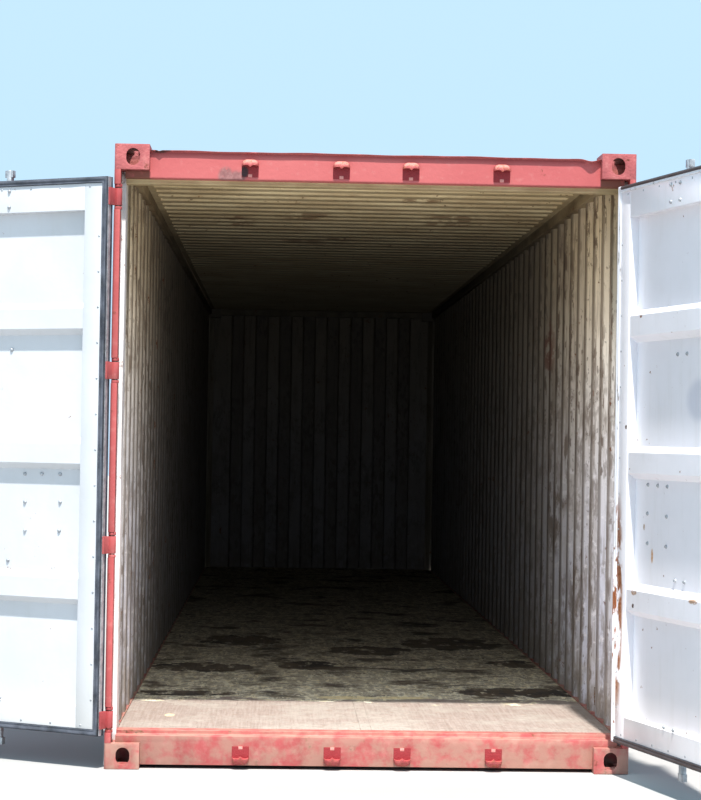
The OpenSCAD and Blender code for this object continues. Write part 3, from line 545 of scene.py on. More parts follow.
def keeper_grid(x, base, direction):
    """A height field off the header's face. Below the brow's scalloped edge it is the block,
    with a pad raised at its foot, and above it a quarter ellipse falls back to the face.
    Both fade to nothing at the two sides on a steep power curve."""
    across = np.linspace(-1, 1, 45)
    across = np.sign(across) * np.abs(across) ** 0.7
    edge = 0.054 - 0.009 * np.exp(-(across / 0.17) ** 2) - 0.005 * np.abs(across) ** 6
    side = np.clip(1 - np.abs(across) ** 9, 0, 1) ** 0.45
    below = np.concatenate([[0.0, 0.004, 0.03, 0.08, 0.14, 0.19, 0.22, 0.25, 0.28, 0.31],
                            np.linspace(0.36, 0.96, 8), [1.0]])
    z_low = below[:, None] * edge[None]
    tongue = np.clip((0.3 - np.abs(across)) / 0.05, 0, 1)[None]
    tongue = tongue * np.clip((0.0135 - z_low) / 0.002, 0, 1)
    narrow = np.clip((1.0 - np.abs(across)) / 0.08, 0, 1)[None]
    reach_low = (block_reach + (tongue_reach - block_reach) * tongue) * narrow ** 0.5
    reach_low[0] = -0.0005
    turned = np.linspace(0, math.pi / 2, 14)
    z_high = edge[None] + (keeper_height - edge)[None] * np.sin(turned)[:, None]
    reach_high = brow_reach * np.cos(turned)[:, None] ** 0.75 * side[None]
    z = np.concatenate([z_low, edge[None], z_high])
    reach = np.concatenate([reach_low, (brow_reach - 0.003) * side[None], reach_high])
    reach[:, 0] = reach[:, -1] = reach[-1] = -0.0005
    upper = np.clip((z - 0.046) / (keeper_height - 0.046), 0, 1)
    taper = 1 - 0.17 * upper ** 2.5
    z = z - 0.010 * np.abs(across) ** 4 * upper ** 2
    x = x + keeper_half * across * taper
    return np.stack([x, face_y - reach, base + direction * z], axis=-1)


def gathered(name, meshes):
    """Several closed meshes put together as one."""
    shape = bmesh.new()
    for part in meshes:
        shape.from_mesh(part)
    mesh = bpy.data.meshes.new(name)
    shape.to_mesh(mesh)
    shape.free()
    return mesh


def backed(name, grid):
    """A height field closed behind: the grid with its rim joined by one flat face."""
    rows, columns = grid.shape[:2]
    index = np.arange(rows * columns).reshape(rows, columns)
    rim = np.concatenate([index[0], index[1:, -1], index[-1, :-1][::-1], index[1:-1, 0][::-1]])
    return closed_mesh(name, grid, cells(index).tolist() + [rim[::-1].tolist()])


def keeper_paint():
    """The faded red, with painted light on the crown's upward faces, painted shade on the block
    under the brow's edge, a painted highlight on the pale pad at the foot and a dark bruise on
    the first keeper."""
    coat = Coat("keeper_red", gloss=0.28)
    # Painted light: the upward faces of the header keepers' crowns are paler.
    painted_crown_light = coat.spread(coat.signed(coat.axis("Z", coat.facing), coat.axis("Z")), 0.2, 1.6)
    spots = coat.both(coat.grain(0.012, 0.52, 0.62),
                      coat.along("Y", face_y - 0.012, face_y - 0.016))
    columns = [coat.both(coat.off_middle("X", middle - 0.011, middle - 0.008),
                         coat.off_middle("X", middle + 0.011, middle + 0.008))
               for middle in rod_places]
    feet = [coat.both(coat.along("Z", foot - 0.016, foot - 0.013),
                      coat.along("Z", foot + 0.016, foot + 0.013)) for foot in (top_foot, low_foot)]
    # Painted highlight: a pale pad at each keeper's foot, in front of the rod.
    painted_pad_light = coat.both(coat.either(*columns), coat.either(*feet))
    bruise = coat.near((-0.616, face_y - 0.012, keeper_high.z - 0.06), (0.024, 0.04, 0.036))
    colour = coat.over(coat.mottled(0.02, (0.42, 0.085, 0.09), (0.5, 0.14, 0.135)),
                       (painted_crown_light, 0.7, (0.62, 0.33, 0.27)),
                       # Painted shade: the block close to the header's face, under the brow, is darker red.
                       (coat.along("Y", face_y - 0.02, face_y - 0.012), (0.34, 0.052, 0.058)),
                       (spots, 0.6, (0.36, 0.16, 0.08)), (painted_pad_light, 0.85, (0.78, 0.38, 0.33)),
                       (bruise, 0.9, (0.05, 0.042, 0.045)))
    return coat.finish(colour, coat.level(spots, 0.5, 0.85), coat.grain(0.006), 0.0012)


rod_places = (0.163, 0.590)
keeper_low, keeper_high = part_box("cam_keepers")
top_foot, low_foot = keeper_high.z - keeper_height, keeper_low.z + keeper_height
keepers = []
for x in (-0.590, -0.163, 0.163, 0.590):
    keepers.append(backed("keeper", keeper_grid(x, top_foot, 1)))
    keepers.append(backed("keeper", keeper_grid(x, low_foot, -1)))
keeper_mesh = gathered("keeper_castings", keepers)
keeper_mesh.shade_smooth()
keeper_mesh.set_sharp_from_angle(angle=math.radians(40))
add_piece("keeper_castings", keeper_mesh, "container", keeper_paint(),
          ("cam_keepers",))

# Door sill: a folded steel box between the bottom castings, worn along its top by traffic.
eased("door_sill", faded_red("sill_red", 0.02, 0.55), 0.002)

# Hinge lugs and pins: forged rings welded in the notches of the rear posts, four on each
# side, with a plain steel pin through each pair.
eased("hinge_lugs", faded_red("lug_red", 0.05), 0.0015)


def pin_steel():
    """Bright steel dulled by rust in fine grain."""
    coat = Coat("pin_steel", metallic=0.9)
    colour = coat.mottled(0.01, (0.3, 0.28, 0.26), (0.18, 0.1, 0.06), 0.35, 0.65)
    return coat.finish(colour, coat.level(coat.grain(0.006), 0.35, 0.7), coat.grain(0.004), 0.0003)


paint(["hinge_pins"], pin_steel())

# Rails: square tubes along the roof's edges, folded sections along the floor's edges and
# hollow cross rails at the front end. Red outside, dirty on the cargo side.


def lined_rail():
    """Red outside, and the cargo side's dirty pale paint where the face looks inward, darkened
    deeper in by painted shade.
    """
    coat = Coat("lined_rail", gloss=0.28)
    dull = coat.mottled(0.15, (0.34, 0.27, 0.17), (0.17, 0.125, 0.075), 0.35, 0.65, (1, 4, 1))
    # Painted shade: the cargo side's paint darkens deeper into the container.
    dull = coat.over(dull, (coat.along("Y", -4.8, -1.4), 0.65, (0.1, 0.09, 0.07)))
    inward = coat.signed(coat.axis("X"), coat.axis("X", coat.facing))
    base = coat.over(coat.mottled(0.6, *old_reds), (coat.spread(inward, -0.2, -0.4), dull),
                     (coat.looking("Y", -0.5, -0.7), dull), (coat.looking("Z", -0.5, -0.8), dull))
    colour, spots = weather(coat, base, 0.03)
    return coat.finish(colour, coat.level(spots, 0.55, 0.9), coat.grain(0.02), 0.001)


rail_lining = lined_rail()
eased("left_top_side_rail", rail_lining, 0.004)
eased("right_top_side_rail", rail_lining, 0.004)
paint(["front_top_rail"], rail_lining)
paint(["left_bottom_side_rail", "right_bottom_side_rail"], faded_red("low_rail_red", 0.07, 0.8))
paint(["front_bottom_rail"], faded_red("rail_red", 0.03))

# Side walls: 2 mm sheet pressed into deep upright corrugations, welded between the rails.
# Outside is the faded red. Inside the old pale paint is brown with dust at the top, greyer
# below, and streaked, scraped and spotted with rust. Painted shade darkens it deeper in and on
# the webs that look away from the doorway.


def sheet_red(coat, bright, amount, *rows):
    """The outside's faded red: two reds in large clouds, thin dark runs, what the rows add
    and rust."""
    runs = coat.grain(0.035, 0.52, 0.66, (1, 1, 14), 8)
    red = coat.over(coat.mottled(0.9, (0.36, 0.078, 0.078), bright),
                    (runs, 0.35, (0.24, 0.055, 0.05)), *rows)
    return weather(coat, red, amount)


def wall_paint(name, letter, sign, amount=0.0, overall_darkening=0.0):
    """Inside and outside paint, chosen by which way the sheet's face looks. Crests are the
    ridges towards the cargo, which are scraped most."""
    coat = Coat(name + "_paint", gloss=0.25)
    low_dirt = coat.grain(0.07, 0.33, 0.58, (1, 1, 1.5))
    red, red_spots = sheet_red(coat, (0.45, 0.12, 0.115), 0.03,
                               (coat.grain(0.05, 0.6, 0.64, (5, 5, 1), 14.0),
                                coat.grain(0.6, 0.45, 0.6, shift=3.0), 0.6, (0.52, 0.27, 0.25)))
    red = coat.over(red, (coat.along("Z", 0.9, 0.2), low_dirt, 0.5, (0.36, 0.25, 0.19)))
    near_crest, far_crest = sorted(abs(corner["XY".index(letter)]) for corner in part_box(name))
    span = far_crest - near_crest
    crest, crest_edge = (coat.spread(coat.signed(coat.axis(letter), sign), near_crest + far * span,
                                     near_crest + near * span)
                         for far, near in ((0.16, 0.04), (0.35, 0.2)))
    pale = coat.tint(coat.along("Z", 0.6, 2.4), (0.67, 0.665, 0.74), (0.77, 0.7, 0.6))
    pale = coat.over(pale, (coat.along("Z", 1.8, 2.75), 0.9, (0.64, 0.53, 0.36)),
                     (coat.grain(0.3, 0.44, 0.6, (1, 1, 2), 6.3), 0.38, (0.5, 0.43, 0.35)))
    for size, length, level, share, shift in (
            (0.10, 7, 0.56, 0.4, 1.5), (0.045, 10, 0.57, 0.5, 7.1), (0.018, 20, 0.57, 0.5, 4.4)):
        streak = coat.grain(size, level, level + 0.1, (1, 1, length), shift)
        pale = coat.over(pale, (streak, share, (0.25, 0.195, 0.145)))
    rub = coat.both(coat.grain(0.05, 0.56, 0.66, (1, 5, 1), 2.4), coat.along("Z", 2.0, 1.2))
    grime = coat.both(crest, coat.grain(0.1, 0.18, 0.42, (1, 1, 5), 16.0))
    chip = coat.both(coat.grain(0.024, 0.6, 0.63, (1, 1, 1.5), 12.0),
                     coat.grain(0.35, 0.42, 0.58, shift=19.0), 0.7)
    edge_rust = coat.both(coat.grain(0.035, 0.5, 0.56, (1, 1, 2.5), 25.0), crest_edge)
    chip = coat.either(chip, coat.both(edge_rust, coat.grain(0.5, 0.4, 0.6, detail=3, shift=29.0)))
    # Painted shade: faces that look along +y on the side walls, away from the doorway, and along +x on the front
    # wall are darkened in the rust chips' tone.
    painted_shade_away = coat.both(coat.looking("X" if letter == "Y" else "Y", 0.25, 0.45), 0.4)
    foot = coat.both(coat.along("Z", 0.62, 0.17), low_dirt)
    smear = coat.both(coat.grain(0.16, 0.5, 0.62, (1, 1.6, 1.6), 31.0),
                      coat.grain(0.018, 0.38, 0.56, (1, 1, 3), 35.0))
    smeared = coat.level(coat.along("Z", 2.3, 1.5), 0.25, 0.62)
    pale = coat.over(pale, (rub, 0.7, (0.88, 0.85, 0.86)), (grime, 0.6, (0.19, 0.145, 0.11)),
                     (coat.either(chip, painted_shade_away), 0.85, (0.14, 0.095, 0.065)),
                     (foot, 0.75, (0.28, 0.22, 0.16)), (smear, smeared, (0.2, 0.155, 0.12)),
                     (coat.along("Z", 2.2, 1.2), 0.16, (0.36, 0.36, 0.4)),
                     # An even darkening of the whole inside by a given share, used on the left wall.
                     (overall_darkening, (0.17, 0.14, 0.1)))
    if name == "right_side_wall":
        for y, height, wide, tall in ((-3.97, 1.38, 0.25, 0.3), (-4.45, 0.68, 0.2, 0.4),
                                      (-3.66, 1.08, 0.3, 0.25)):
            drip = coat.both(coat.near((1.19, y, height), (0.2, wide, tall)),
                             coat.grain(0.05, 0.45, 0.55, (1, 1, 3), y))
            pale = coat.over(pale, (drip, 0.75, (0.14, 0.095, 0.06)))
        patch = coat.both(coat.near((1.19, -3.32, 2.09), (0.2, 0.22, 0.26)),
                          coat.grain(0.06, 0.4, 0.52, shift=1.1))
        pale = coat.over(pale, (patch, 0.85, (0.27, 0.085, 0.05)))
    pale_spots = coat.both(coat.grain(0.11, 0.645 - amount, 0.725 - amount, shift=3.1),
                           coat.grain(0.012, 0.42, 0.58, shift=9.4))
    # Painted shade: the inside darkens from the doorway towards the far end.
    pale = coat.over(pale, (coat.along("Y", -5.5, -2.3), 0.7, (0.1, 0.09, 0.08)),
                     (pale_spots, (0.16, 0.06, 0.025)))
    outer = coat.spread(coat.signed(coat.axis(letter, coat.facing), sign), 0.02, 0.06)
    rough = coat.level(coat.either(red_spots, pale_spots), 0.58, 0.92)
    height = coat.sum(coat.both(coat.grain(0.35, 0.3, 0.7), 0.6),
                      coat.both(coat.grain(0.015), 0.15))
    return coat.finish(coat.tint(outer, pale, red), rough, height, 0.003)


paint(["left_side_wall"], wall_paint("left_side_wall", "X", -1, 0.01, 0.22))
paint(["right_side_wall"], wall_paint("right_side_wall", "X", 1))
paint(["front_wall"], wall_paint("front_wall", "Y", 1))

# Roof: sheets with pressed ridges across the container. The ceiling side has lost its
# white: dust and damp have stained it brown between the ridges, and painted shade darkens it
# deeper in.


def roof_paint():
    """Red on the faces that look up, stained pale brown on those that look down, with painted
    shade darkening the ceiling deeper in.
    """
    coat = Coat("roof_paint", gloss=0.25)
    low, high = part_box("roof")
    span = high.z - low.z
    settled = coat.both(coat.along("Z", high.z - 0.006, high.z - 0.016),
                        coat.grain(0.09, 0.3, 0.6, (3, 1, 1), 41.0))
    scratch = coat.both(coat.grain(0.03, 0.6, 0.64, (9, 1, 1), 45.0), 0.5)
    red = coat.over(coat.mottled(0.8, (0.26, 0.062, 0.058), (0.33, 0.1, 0.088)),
                    (coat.grain(0.25, 0.5, 0.62), 0.6, (0.27, 0.17, 0.13)),
                    (settled, 0.7, (0.24, 0.165, 0.12)), (scratch, (0.44, 0.21, 0.18)))
    red, red_spots = weather(coat, red, 0.06, drip=False)
    crest = coat.along("Z", low.z + 0.22 * span, low.z + 0.08 * span)
    grime = coat.both(crest, coat.grain(0.1, 0.15, 0.4, (5, 1, 1), 13.0))
    band = coat.grain(0.22, 0.46, 0.64, (1.8, 1, 1), 3.3)
    dull = coat.over(coat.mottled(0.5, (0.74, 0.64, 0.425), (0.58, 0.475, 0.295), 0.35, 0.65),
                     (grime, 0.3, (0.25, 0.19, 0.11)), (band, 0.42, (0.4, 0.3, 0.18)))
    for x, y, wide, long in ((-0.73, -2.9, 0.16, 0.5), (-0.3, -3.3, 0.25, 0.2),
                             (0.58, -3.2, 0.22, 0.45), (-0.2, -1.8, 0.3, 0.4),
                             (0.33, -4.2, 0.15, 0.1), (-0.75, -4.75, 0.12, 0.1)):
        stain = coat.both(coat.near((x, y, 2.85), (wide, long, 0.3)),
                          coat.grain(0.05, 0.44, 0.56, (2, 1, 1), x * 9))
        dull = coat.over(dull, (stain, 0.75, (0.22, 0.13, 0.07)))
    speck = coat.both(coat.grain(0.035, 0.63, 0.67, shift=22.0),
                      coat.grain(0.5, 0.46, 0.6, shift=2.0))
    dull = coat.over(dull, (speck, 0.85, (0.15, 0.08, 0.045)),
                     # Painted shade: the ceiling darkens deeper into the container.
                     (coat.along("Y", -4.6, -1.2), 0.52, (0.09, 0.08, 0.065)))
    dull, dull_spots = weather(coat, dull, 0.0, drip=False)
    colour = coat.tint(coat.looking("Z", 0.02, 0.06), dull, red)
    rough = coat.level(coat.either(red_spots, dull_spots), 0.6, 0.92)
    height = coat.sum(coat.both(coat.grain(0.3, 0.3, 0.7), 0.6), coat.both(coat.grain(0.015), 0.15))
    return coat.finish(colour, rough, height, 0.003)


paint(["roof"], roof_paint())

# Floor: 28 mm plywood sheets on the cross members, with a steel strip along the middle. The
# wood is worn bare at the doorway, where it is painted pale pink as sunlit, and further in it
# is dark, with trodden pale chaff and dust over it, which painted shade darkens deeper in.
floor_low, floor_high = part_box("floor_boards")
floor_top = floor_high.z


def floor_sheets():
    """Boxes side by side along the floor: corners of each are its two ends, two sides and
    two faces, with 3 mm between sheets. The last ones are narrowed beside the front posts."""
    joints = np.array([floor_low.y, -5.02, -2.58, -0.14, 2.3, 4.74, floor_high.y])
    start, end = joints[:-1] + 0.0015, joints[1:] - 0.0015
    start[0], end[-1] = joints[0], joints[-1]
    inner, outer = 0.0254, floor_high.x - 0.001
    points, faces = [], []
    for side in (-1, 1):
        for first, last in zip(start, end):
            far = [(outer, 5.963), (1.126, last)] if last > 6.0 else [(outer, last)]
            rim = [(inner, first), (outer, first), *far, (inner, last)][::side]
            base, count = len(points), len(rim)
            points += [(side * x, y, z) for z in (floor_low.z, floor_top) for x, y in rim]
            ring = list(range(count))
            faces += [[base + i for i in ring[::-1]], [base + count + i for i in ring]]
            faces += [[base + i, base + (i + 1) % count, base + count + (i + 1) % count,
                       base + count + i] for i in ring]
    mesh = bpy.data.meshes.new("floor_sheets")
    mesh.from_pydata(points, [], faces)
    return mesh


def plywood(name):
    """Dirt over marine plywood: long grain, a worn stretch at the doorway bare of chaff and painted
    paler as sunlit, damp dark clouds, and a chaff of short pale flecks laid in several directions
    further in, with chaff and dust darkened deeper in as painted shade."""
    coat = Coat(name, gloss=0.25)
    long_grain = coat.grain(0.012, 0.3, 0.7, (1, 26, 1))
    dark = coat.tint(long_grain, (0.155, 0.13, 0.108), (0.245, 0.2, 0.16))
    dark = coat.mottled(0.45, dark, (0.085, 0.074, 0.068), 0.42, 0.6)
    # Painted light: the bare stretch at the doorway is paler and pinker than the wood further in, as if sunlit.
    bare_and_sunlit = coat.over(coat.tint(long_grain, (0.32, 0.258, 0.228), (0.39, 0.328, 0.296)),
                     (coat.grain(0.3, 0.4, 0.65), 0.7, (0.43, 0.39, 0.35)),
                     (coat.grain(0.06, 0.6, 0.7, shift=4), 0.6, (0.32, 0.235, 0.19)))
    edge = coat.added(coat.added(coat.axis("Y"), 4.85),
                      coat.signed(coat.grain(0.22, 0.3, 0.7, shift=2.0), 0.3))
    inside = coat.spread(edge, 0.13, 0.19)
    flecks = [coat.grain(0.016, 0.55, 0.61, (7, 1.6, 1), shift, turned, 3)
              for turned, shift in ((0.15, 0.0), (-0.5, 3.7), (1.15, 8.1), (1.5, 14.0))]
    shred = coat.either(coat.grain(0.028, 0.51, 0.545, (0.8, 3.2, 1), 40.0, turned=0.15),
                        coat.grain(0.028, 0.54, 0.575, (2.2, 1.6, 1), 47.0, turned=-0.35))
    swept = [coat.near((x, y, floor_top), (wide, long, 0.1)) for x, y, wide, long in (
        (-0.94, -4.6, 0.5, 0.16), (0.94, -4.42, 0.55, 0.3), (-0.87, -3.35, 0.42, 0.36),
        (-0.22, -3.2, 0.3, 0.34), (0.18, -2.3, 0.4, 0.4), (0.75, -1.8, 0.5, 0.6),
        (-0.67, -1.7, 0.4, 0.5), (1.05, -3.0, 0.25, 0.3))]
    ragged = coat.sum(coat.both(coat.either(*swept), 0.55),
                      coat.both(coat.grain(0.11, 0.25, 0.75, (1, 2.2, 1), 5.0), 0.45))
    laid = coat.either(coat.grain(0.33, 0.33, 0.5, shift=21.0), coat.spread(edge, 0.42, 0.18))
    laid = coat.both(laid, coat.spread(ragged, 0.72, 0.6))
    # Painted shade: chaff and dust darken from the doorway towards the far end.
    depth_shade = coat.along("Y", -4.4, -1.6)
    chaff = coat.over(coat.mottled(0.03, (0.92, 0.82, 0.56), (1.0, 0.98, 0.86), 0.35, 0.6),
                      (depth_shade, 0.4, (0.8, 0.71, 0.52)))
    clump = coat.grain(0.04, 0.47, 0.56, (1.3, 5.0, 1), 52.0)
    dust = coat.tint(depth_shade, (0.78, 0.71, 0.56), (0.42, 0.37, 0.29))
    heap = coat.either(coat.near((-0.05, -4.72, floor_top), (0.2, 0.09, 0.1)),
                       coat.near((0.25, -4.7, floor_top), (0.19, 0.07, 0.1)),
                       coat.near((-0.95, -5.47, floor_top), (0.03, 0.06, 0.1)))
    heap = coat.both(heap, coat.grain(0.03, 0.3, 0.5, shift=33.0))
    colour = coat.over(bare_and_sunlit, (inside, dark), (coat.either(*flecks, shred), laid, inside, chaff),
                       (clump, inside, 0.5, (0.17, 0.13, 0.085)), (laid, inside, 0.38, dust),
                       (heap, 0.8, (0.88, 0.76, 0.46)))
    height = coat.both(coat.grain(0.028, 0.46, 0.58, (1.6, 1.6, 1), 40.0), 0.8)
    return coat.finish(colour, coat.level(inside, 0.72, 0.85), height, 0.006)


sheets = add_piece("floor_sheets", floor_sheets(), "container",
                   plywood("floor_plywood"), ("floor_boards",))
sheet_edge = sheets.modifiers.new("edge_round", "BEVEL")
sheet_edge.width = 0.0015
sheet_edge.segments = 1

paint(["floor_centre_strip"], plywood("trodden_strip"))

# Underframe: folded cross members, the recess for a lorry's gooseneck and its outriggers,
# all with a black bitumen coat that has gone dusty.


def underseal():
    """Black coat, dusty in clouds, with rust coming through."""
    coat = Coat("underseal")
    colour = coat.mottled(0.2, (0.035, 0.03, 0.028), (0.1, 0.085, 0.07), 0.35, 0.65)
    colour, spots = weather(coat, colour, 0.06, drip=False)
    return coat.finish(colour, coat.level(spots, 0.7, 0.95), coat.grain(0.015), 0.002)


paint(["cross_members", "gooseneck_tunnel", "tunnel_outriggers"], underseal())

# Ventilators and lashing bars: small louvred covers in the walls' outer hollows, and round
# bars welded in the inner hollows for the cargo's straps.
eased("ventilators", faded_red("vent_red", 0.02), 0.001)
paint(["lashing_rings"], pin_steel())

# Door leaves: box-section frames of two stiles and two rails, with a sheet between them that
# has three wide channels pressed towards the cargo. The cargo side is white gloss paint
# with a few rust specks, and the outside is the faded red.
door_plane, pin_x, pin_depth = -6.096, 1.2, 0.020
open_angle = {row["name"].split("_")[0]: -row["range_deg"][0] for row in frame["joints"]}


def leaf_vector(side, x, y):
    """A direction of the closed right leaf, turned to where that leaf stands open."""
    angle = math.radians(open_angle[side])
    tx = x * math.cos(angle) - y * math.sin(angle)
    ty = x * math.sin(angle) + y * math.cos(angle)
    return (-tx, ty, 0.0) if side == "left" else (tx, ty, 0.0)


def leaf_points(side, x, depth, z):
    """Places of the closed right leaf, x from the middle and depth behind the door plane,
    turned about the pin to where that leaf stands, and mirrored for the left one."""
    x, depth, z = np.broadcast_arrays(*(np.asarray(v, float) for v in (x, depth, z)))
    angle = math.radians(open_angle[side])
    dx, dy = x - pin_x, depth - pin_depth
    tx = pin_x + dx * math.cos(angle) - dy * math.sin(angle)
    ty = door_plane + pin_depth + dx * math.sin(angle) + dy * math.cos(angle)
    return np.stack([-tx if side == "left" else tx, ty, z], axis=-1)


def leaf_paint(side):
    """White gloss on the cargo side and faded red outside, with specks and runs of rust. The left
    leaf's white is darker as painted shade and the right leaf's paler as painted light. The right
    leaf has marks, a faint bluish painted shadow, and paint worn off its hinge edge."""
    coat = Coat(f"{side}_leaf_paint")
    # Painted light and shade: one white paint, darker on the left leaf and paler on the right.
    whites_toned_for_light = {"left": ((0.66, 0.66, 0.685), (0.6, 0.6, 0.62)),
              "right": ((0.88, 0.86, 0.9), (0.83, 0.81, 0.84))}[side]
    speck = coat.both(coat.grain(0.05, 0.69, 0.73, shift=15), coat.grain(0.01, 0.4, 0.6))
    white = coat.over(coat.mottled(0.5, *whites_toned_for_light),
                      (coat.grain(0.05, 0.5, 0.75, (1, 1, 7), 2), 0.1, (0.52, 0.49, 0.43)),
                      (coat.along("Z", 0.7, 0.16), 0.25, (0.55, 0.5, 0.42)), (speck, rust_warm))
    red, spots = sheet_red(coat, (0.45, 0.125, 0.12), 0.02)
    cargo_side = coat.spread(coat.towards(coat.facing, leaf_vector(side, 0, 1)), -0.35, -0.3)
    colour = coat.tint(cargo_side, red, white)
    if side == "right":
        for place, tall, wide, tone in (((1.26, -6.396, 1.034), 0.022, 0.007, (0.62, 0.34, 0.17)),
                                        ((1.237, -6.311, 1.161), 0.01, 0.006, (0.42, 0.28, 0.2)),
                                        ((1.191, -6.309, 0.862), 0.008, 0.02, (0.45, 0.3, 0.21)),
                                        ((1.345, -6.885, 0.867), 0.008, 0.03, (0.45, 0.3, 0.21)),
                                        ((1.189, -6.3, 0.8), 0.007, 0.008, rust_dark),
                                        ((1.165, -6.212, 1.617), 0.007, 0.007, rust_dark),
                                        ((1.2, -6.343, 2.123), 0.006, 0.008, rust_warm)):
            mark = coat.both(coat.near(place, (0.02 + 0.5 * wide, 1.8 * wide, 1.8 * tall)),
                             coat.grain(0.012, 0.32, 0.5, shift=place[2]))
            colour = coat.over(colour, (mark, cargo_side, tone))
        # Painted shadow: a faint bluish patch on the right leaf's panel below the first channel.
        painted_shadow_patch = coat.near((1.378, -6.838, 1.734), (0.12, 0.16, 0.115))
        edge = coat.both(coat.near(tuple(leaf_points(side, 1.15, 0.089, 0.78)), (0.07, 0.07, 0.62)),
                         coat.grain(0.06, 0.42, 0.52, (1, 1, 2), 4))
        colour = coat.over(colour, (painted_shadow_patch, cargo_side, 0.34, (0.42, 0.45, 0.56)),
                           (edge, coat.tint(coat.grain(0.015), rust_warm, (0.4, 0.2, 0.11))))
    rough = coat.level(coat.either(spots, speck), 0.34, 0.85)
    height = coat.sum(coat.both(coat.grain(0.25, 0.3, 0.7), 0.5), coat.both(coat.grain(0.01), 0.05))
    return coat.finish(colour, rough, height, 0.002)


for side in ("left", "right"):
    leaf_finish = leaf_paint(side)
    eased(f"{side}_door_stiles", leaf_finish, 0.003)
    eased(f"{side}_door_rails", leaf_finish, 0.003)
    paint([f"{side}_door_panel"], leaf_finish)

# Door gaskets: a black rubber profile folded round the edge of each leaf, with soft lips on
# the cargo side and a galvanised strip along the edge. Small screws stand beside it.
leaf_low, leaf_high = ({side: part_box(f"{side}_door_stiles")[end].z for side in ("left", "right")}
                       for end in (0, 1))
leaf_inner_x, leaf_outer_x, leaf_back = 0.008, 1.183, 0.089


def framed(side, profile, waviness=0.0):
    """A profile of inset and height, carried round the leaf: each point runs on the leaf's
    rectangle shrunk by its inset, 60 steps a side, and stands off the leaf by its height."""
    profile = np.array(profile, float)
    inset, rise = profile[:, 0][None, :], profile[:, 1][None, :]
    t = np.linspace(0, 1, 60, endpoint=False)[:, None]
    left, right = leaf_inner_x + inset, leaf_outer_x - inset
    base, top = leaf_low[side] + inset, leaf_high[side] - inset
    one = np.ones_like(t)
    x = np.concatenate([left + (right - left) * t, right * one, right + (left - right) * t,
                        left * one])
    z = np.concatenate([base * one, base + (top - base) * t, top * one, top + (base - top) * t])
    ring = np.linspace(0, 2 * math.pi, x.shape[0], endpoint=False)[:, None]
    soft = waviness * (np.sin(ring * 17) + 0.6 * np.sin(ring * 41 + 1.0))
    depth = leaf_back + rise + soft * (rise > 0.004)
    return leaf_points(side, x, depth, z)


def rubber(side):
    """Weathered black rubber with a bluish bloom and chalky dust in the creases. On the
    right leaf the run beside the hinges has been painted over, and the paint is peeling."""
    coat = Coat(f"{side}_gasket_rubber")
    flat = coat.spread(coat.towards(coat.facing, leaf_vector(side, 0, 1)), 0.8, 0.95)
    colour = coat.over(coat.mottled(0.15, (0.03, 0.034, 0.045), (0.07, 0.08, 0.1), 0.35, 0.65),
                       (coat.grain(0.02, 0.5, 0.7), 0.4, (0.12, 0.12, 0.11)),
                       (flat, coat.grain(0.1, 0.25, 0.7, shift=6.0), (0.15, 0.158, 0.19)))
    if side == "right":
        across = leaf_vector(side, 1, 0)
        start = float(leaf_points(side, leaf_outer_x, 0, 0) @ np.array(across))
        beside = coat.spread(coat.towards(coat.place, across), start - 0.03, start - 0.026)
        below = coat.along("Z", leaf_high[side] - 0.012, leaf_high[side] - 0.015)
        beside = coat.either(beside, coat.both(below, coat.along("Z", 2.0, 2.2)))
        peeled = coat.both(coat.grain(0.05, 0.52, 0.6, (1, 1, 2), 4), coat.along("Z", 1.35, 1.15))
        painted = coat.tint(peeled, (0.78, 0.77, 0.8), rust_warm)
        painted = coat.mottled(0.02, painted, (0.25, 0.22, 0.2), 0.6, 0.7, (1, 1, 6))
        colour = coat.over(colour, (flat, 0.7, (0.11, 0.07, 0.055)), (beside, painted))
    return coat.finish(colour, coat.level(coat.grain(0.05), 0.5, 0.75), coat.grain(0.006), 0.0006)


def zinc():
    """Dull zinc: grey with darker spangle and a little white bloom."""
    coat = Coat("dull_zinc", metallic=0.55)
    colour = coat.mottled(0.03, (0.36, 0.37, 0.39), (0.52, 0.53, 0.55), 0.35, 0.65)
    colour, spots = weather(coat, colour, 0.0, drip=False)
    return coat.finish(colour, coat.level(spots, 0.5, 0.85), coat.grain(0.01), 0.0004)


zinc_finish = zinc()
gasket_profile = [(-0.0016, -0.044), (-0.0034, -0.0425), (-0.0042, -0.039), (-0.0036, -0.034),
                  (-0.002, -0.031), (-0.0018, -0.004), (-0.0032, -0.001), (-0.0036, 0.003),
                  (-0.002, 0.0065), (0.002, 0.0085), (0.008, 0.0088), (0.012, 0.007),
                  (0.0145, 0.0048), (0.0175, 0.0048), (0.0205, 0.0068), (0.0235, 0.0066),
                  (0.026, 0.002), (0.026, -0.0004), (0.0006, -0.0004), (0.0006, -0.044)]
strip_profile = [(-0.0017, -0.03), (-0.0027, -0.029), (-0.0034, -0.024), (-0.0034, -0.011),
                 (-0.0027, -0.006), (-0.0017, -0.005)]


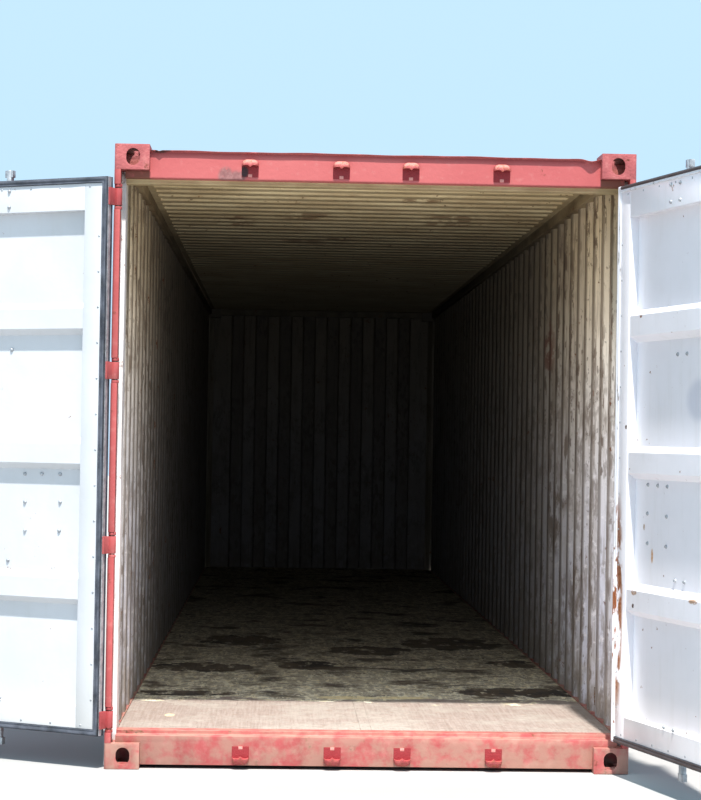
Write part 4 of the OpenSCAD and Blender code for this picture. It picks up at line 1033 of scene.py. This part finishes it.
def domes(name, centres, outward, radius, height, sides=10):
    """Low round heads: rings of points about each centre, shrinking on a quarter circle as
    they rise along the outward direction."""
    outward = np.array(outward, float)
    outward = outward / np.linalg.norm(outward)
    first = np.cross(outward, [0.0, 0.0, 1.0] if abs(outward[2]) < 0.9 else [1.0, 0.0, 0.0])
    first = first / np.linalg.norm(first)
    second = np.cross(outward, first)
    turn_angle = np.linspace(0, 2 * math.pi, sides, endpoint=False)
    lift = np.array([0.0, 0.55, 0.9])
    ring = (np.cos(turn_angle)[:, None] * first + np.sin(turn_angle)[:, None] * second) * radius
    inward, up = np.cos(np.arcsin(lift))[:, None, None], (lift * height)[:, None, None]
    shell = inward * ring[None] + up * outward
    head = np.concatenate([shell.reshape(-1, 3), (outward * height)[None]])
    count = len(head)
    points = np.asarray(centres)[:, None, :] + head[None]
    index = np.arange(3 * sides).reshape(3, sides)
    wrap = np.concatenate([index, index[:, :1]], axis=1)
    top = np.stack([wrap[2, :-1], wrap[2, 1:], np.full(sides, count - 1)], axis=-1)
    offset = np.arange(len(centres))[:, None, None] * count
    faces = (cells(wrap)[None] + offset).reshape(-1, 4).tolist()
    faces += (top[None] + offset).reshape(-1, 3).tolist()
    mesh = closed_mesh(name, points, faces)
    mesh.shade_smooth()
    return mesh


screw_inset, screw_spacing = 0.040, 0.165
for side in ("left", "right"):
    body = f"{side}_door"
    seal = carried(f"{side}_seal", framed(side, gasket_profile, 0.0004), ring=True)
    seal.shade_smooth()
    add_piece(f"{side}_gasket_rubber", seal, body, rubber(side),
              (f"{body}_gasket",))
    strip = carried(f"{side}_strip", framed(side, strip_profile), ring=True)
    add_piece(f"{side}_gasket_strip", strip, body, zinc_finish)
    low, high = leaf_low[side] + screw_inset, leaf_high[side] - screw_inset
    across = np.arange(leaf_inner_x + 0.09, leaf_outer_x - 0.08, screw_spacing)
    upright = np.arange(low + 0.12, high - 0.1, screw_spacing)
    x = np.concatenate([across, across, np.full(len(upright), leaf_inner_x + screw_inset),
                        np.full(len(upright), leaf_outer_x - screw_inset)])
    z = np.concatenate([np.full(len(across), low), np.full(len(across), high), upright, upright])
    heads = domes(f"{side}_screws", leaf_points(side, x, leaf_back - 0.0002, z),
                  leaf_vector(side, 0, 1), 0.0055, 0.0028)
    add_piece(f"{side}_gasket_screws", heads, body, zinc_finish)

# Lock gear: galvanised rods with cams and handles on the outside of each leaf, held by
# welded guides. The guides' bolts come through the leaf and show as nuts on the cargo side.
# The rods' ends stop a little short, so that they pass under the keepers' brows.
rod_end_cut, rod_end = 0.017, 0.05
for side in ("left", "right"):
    rods = eased(f"{side}_door_lock_rods", zinc_finish, 0.0015)
    points = np.empty(len(rods.data.vertices) * 3)
    rods.data.vertices.foreach_get("co", points)
    z = points[2::3]
    z += rod_end_cut * ((z < z.min() + rod_end) * 1.0 - (z > z.max() - rod_end) * 1.0)
    rods.data.vertices.foreach_set("co", points)
    eased(f"{side}_door_handles", zinc_finish, 0.001)
    eased(f"{side}_door_rod_guides", zinc_finish, 0.001)
    eased(f"{side}_door_hinge_blades", faded_red(f"{side}_blade_red", 0.05), 0.0015)

# The bolt ends stand in pairs beside each rod at its guides, and seven hold the handles.
bolt_rows = (0.295, 0.939, 1.939, 2.650 - 0.038, 2.650 + 0.038)
x = [rod_x + shift for rod_x in rod_places for row in bolt_rows for shift in (-0.046, 0.046)]
z = [row for rod_x in rod_places for row in bolt_rows for shift in (-0.046, 0.046)]
x = np.array(x + [0.724, 0.821, 0.923, 0.727, 0.926, 0.730, 0.923])
z = np.array(z + [1.352, 1.354, 1.355, 1.218, 1.224, 1.084, 1.089])
depth = np.where((z > 0.295) & (z < 2.58), 0.045, leaf_back)
for side in ("left", "right"):
    ends = domes(f"{side}_bolt_ends", leaf_points(side, x, depth, z), leaf_vector(side, 0, 1),
                 0.0095, 0.009, 12)
    add_piece(f"{side}_bolt_ends", ends, f"{side}_door", zinc_finish)
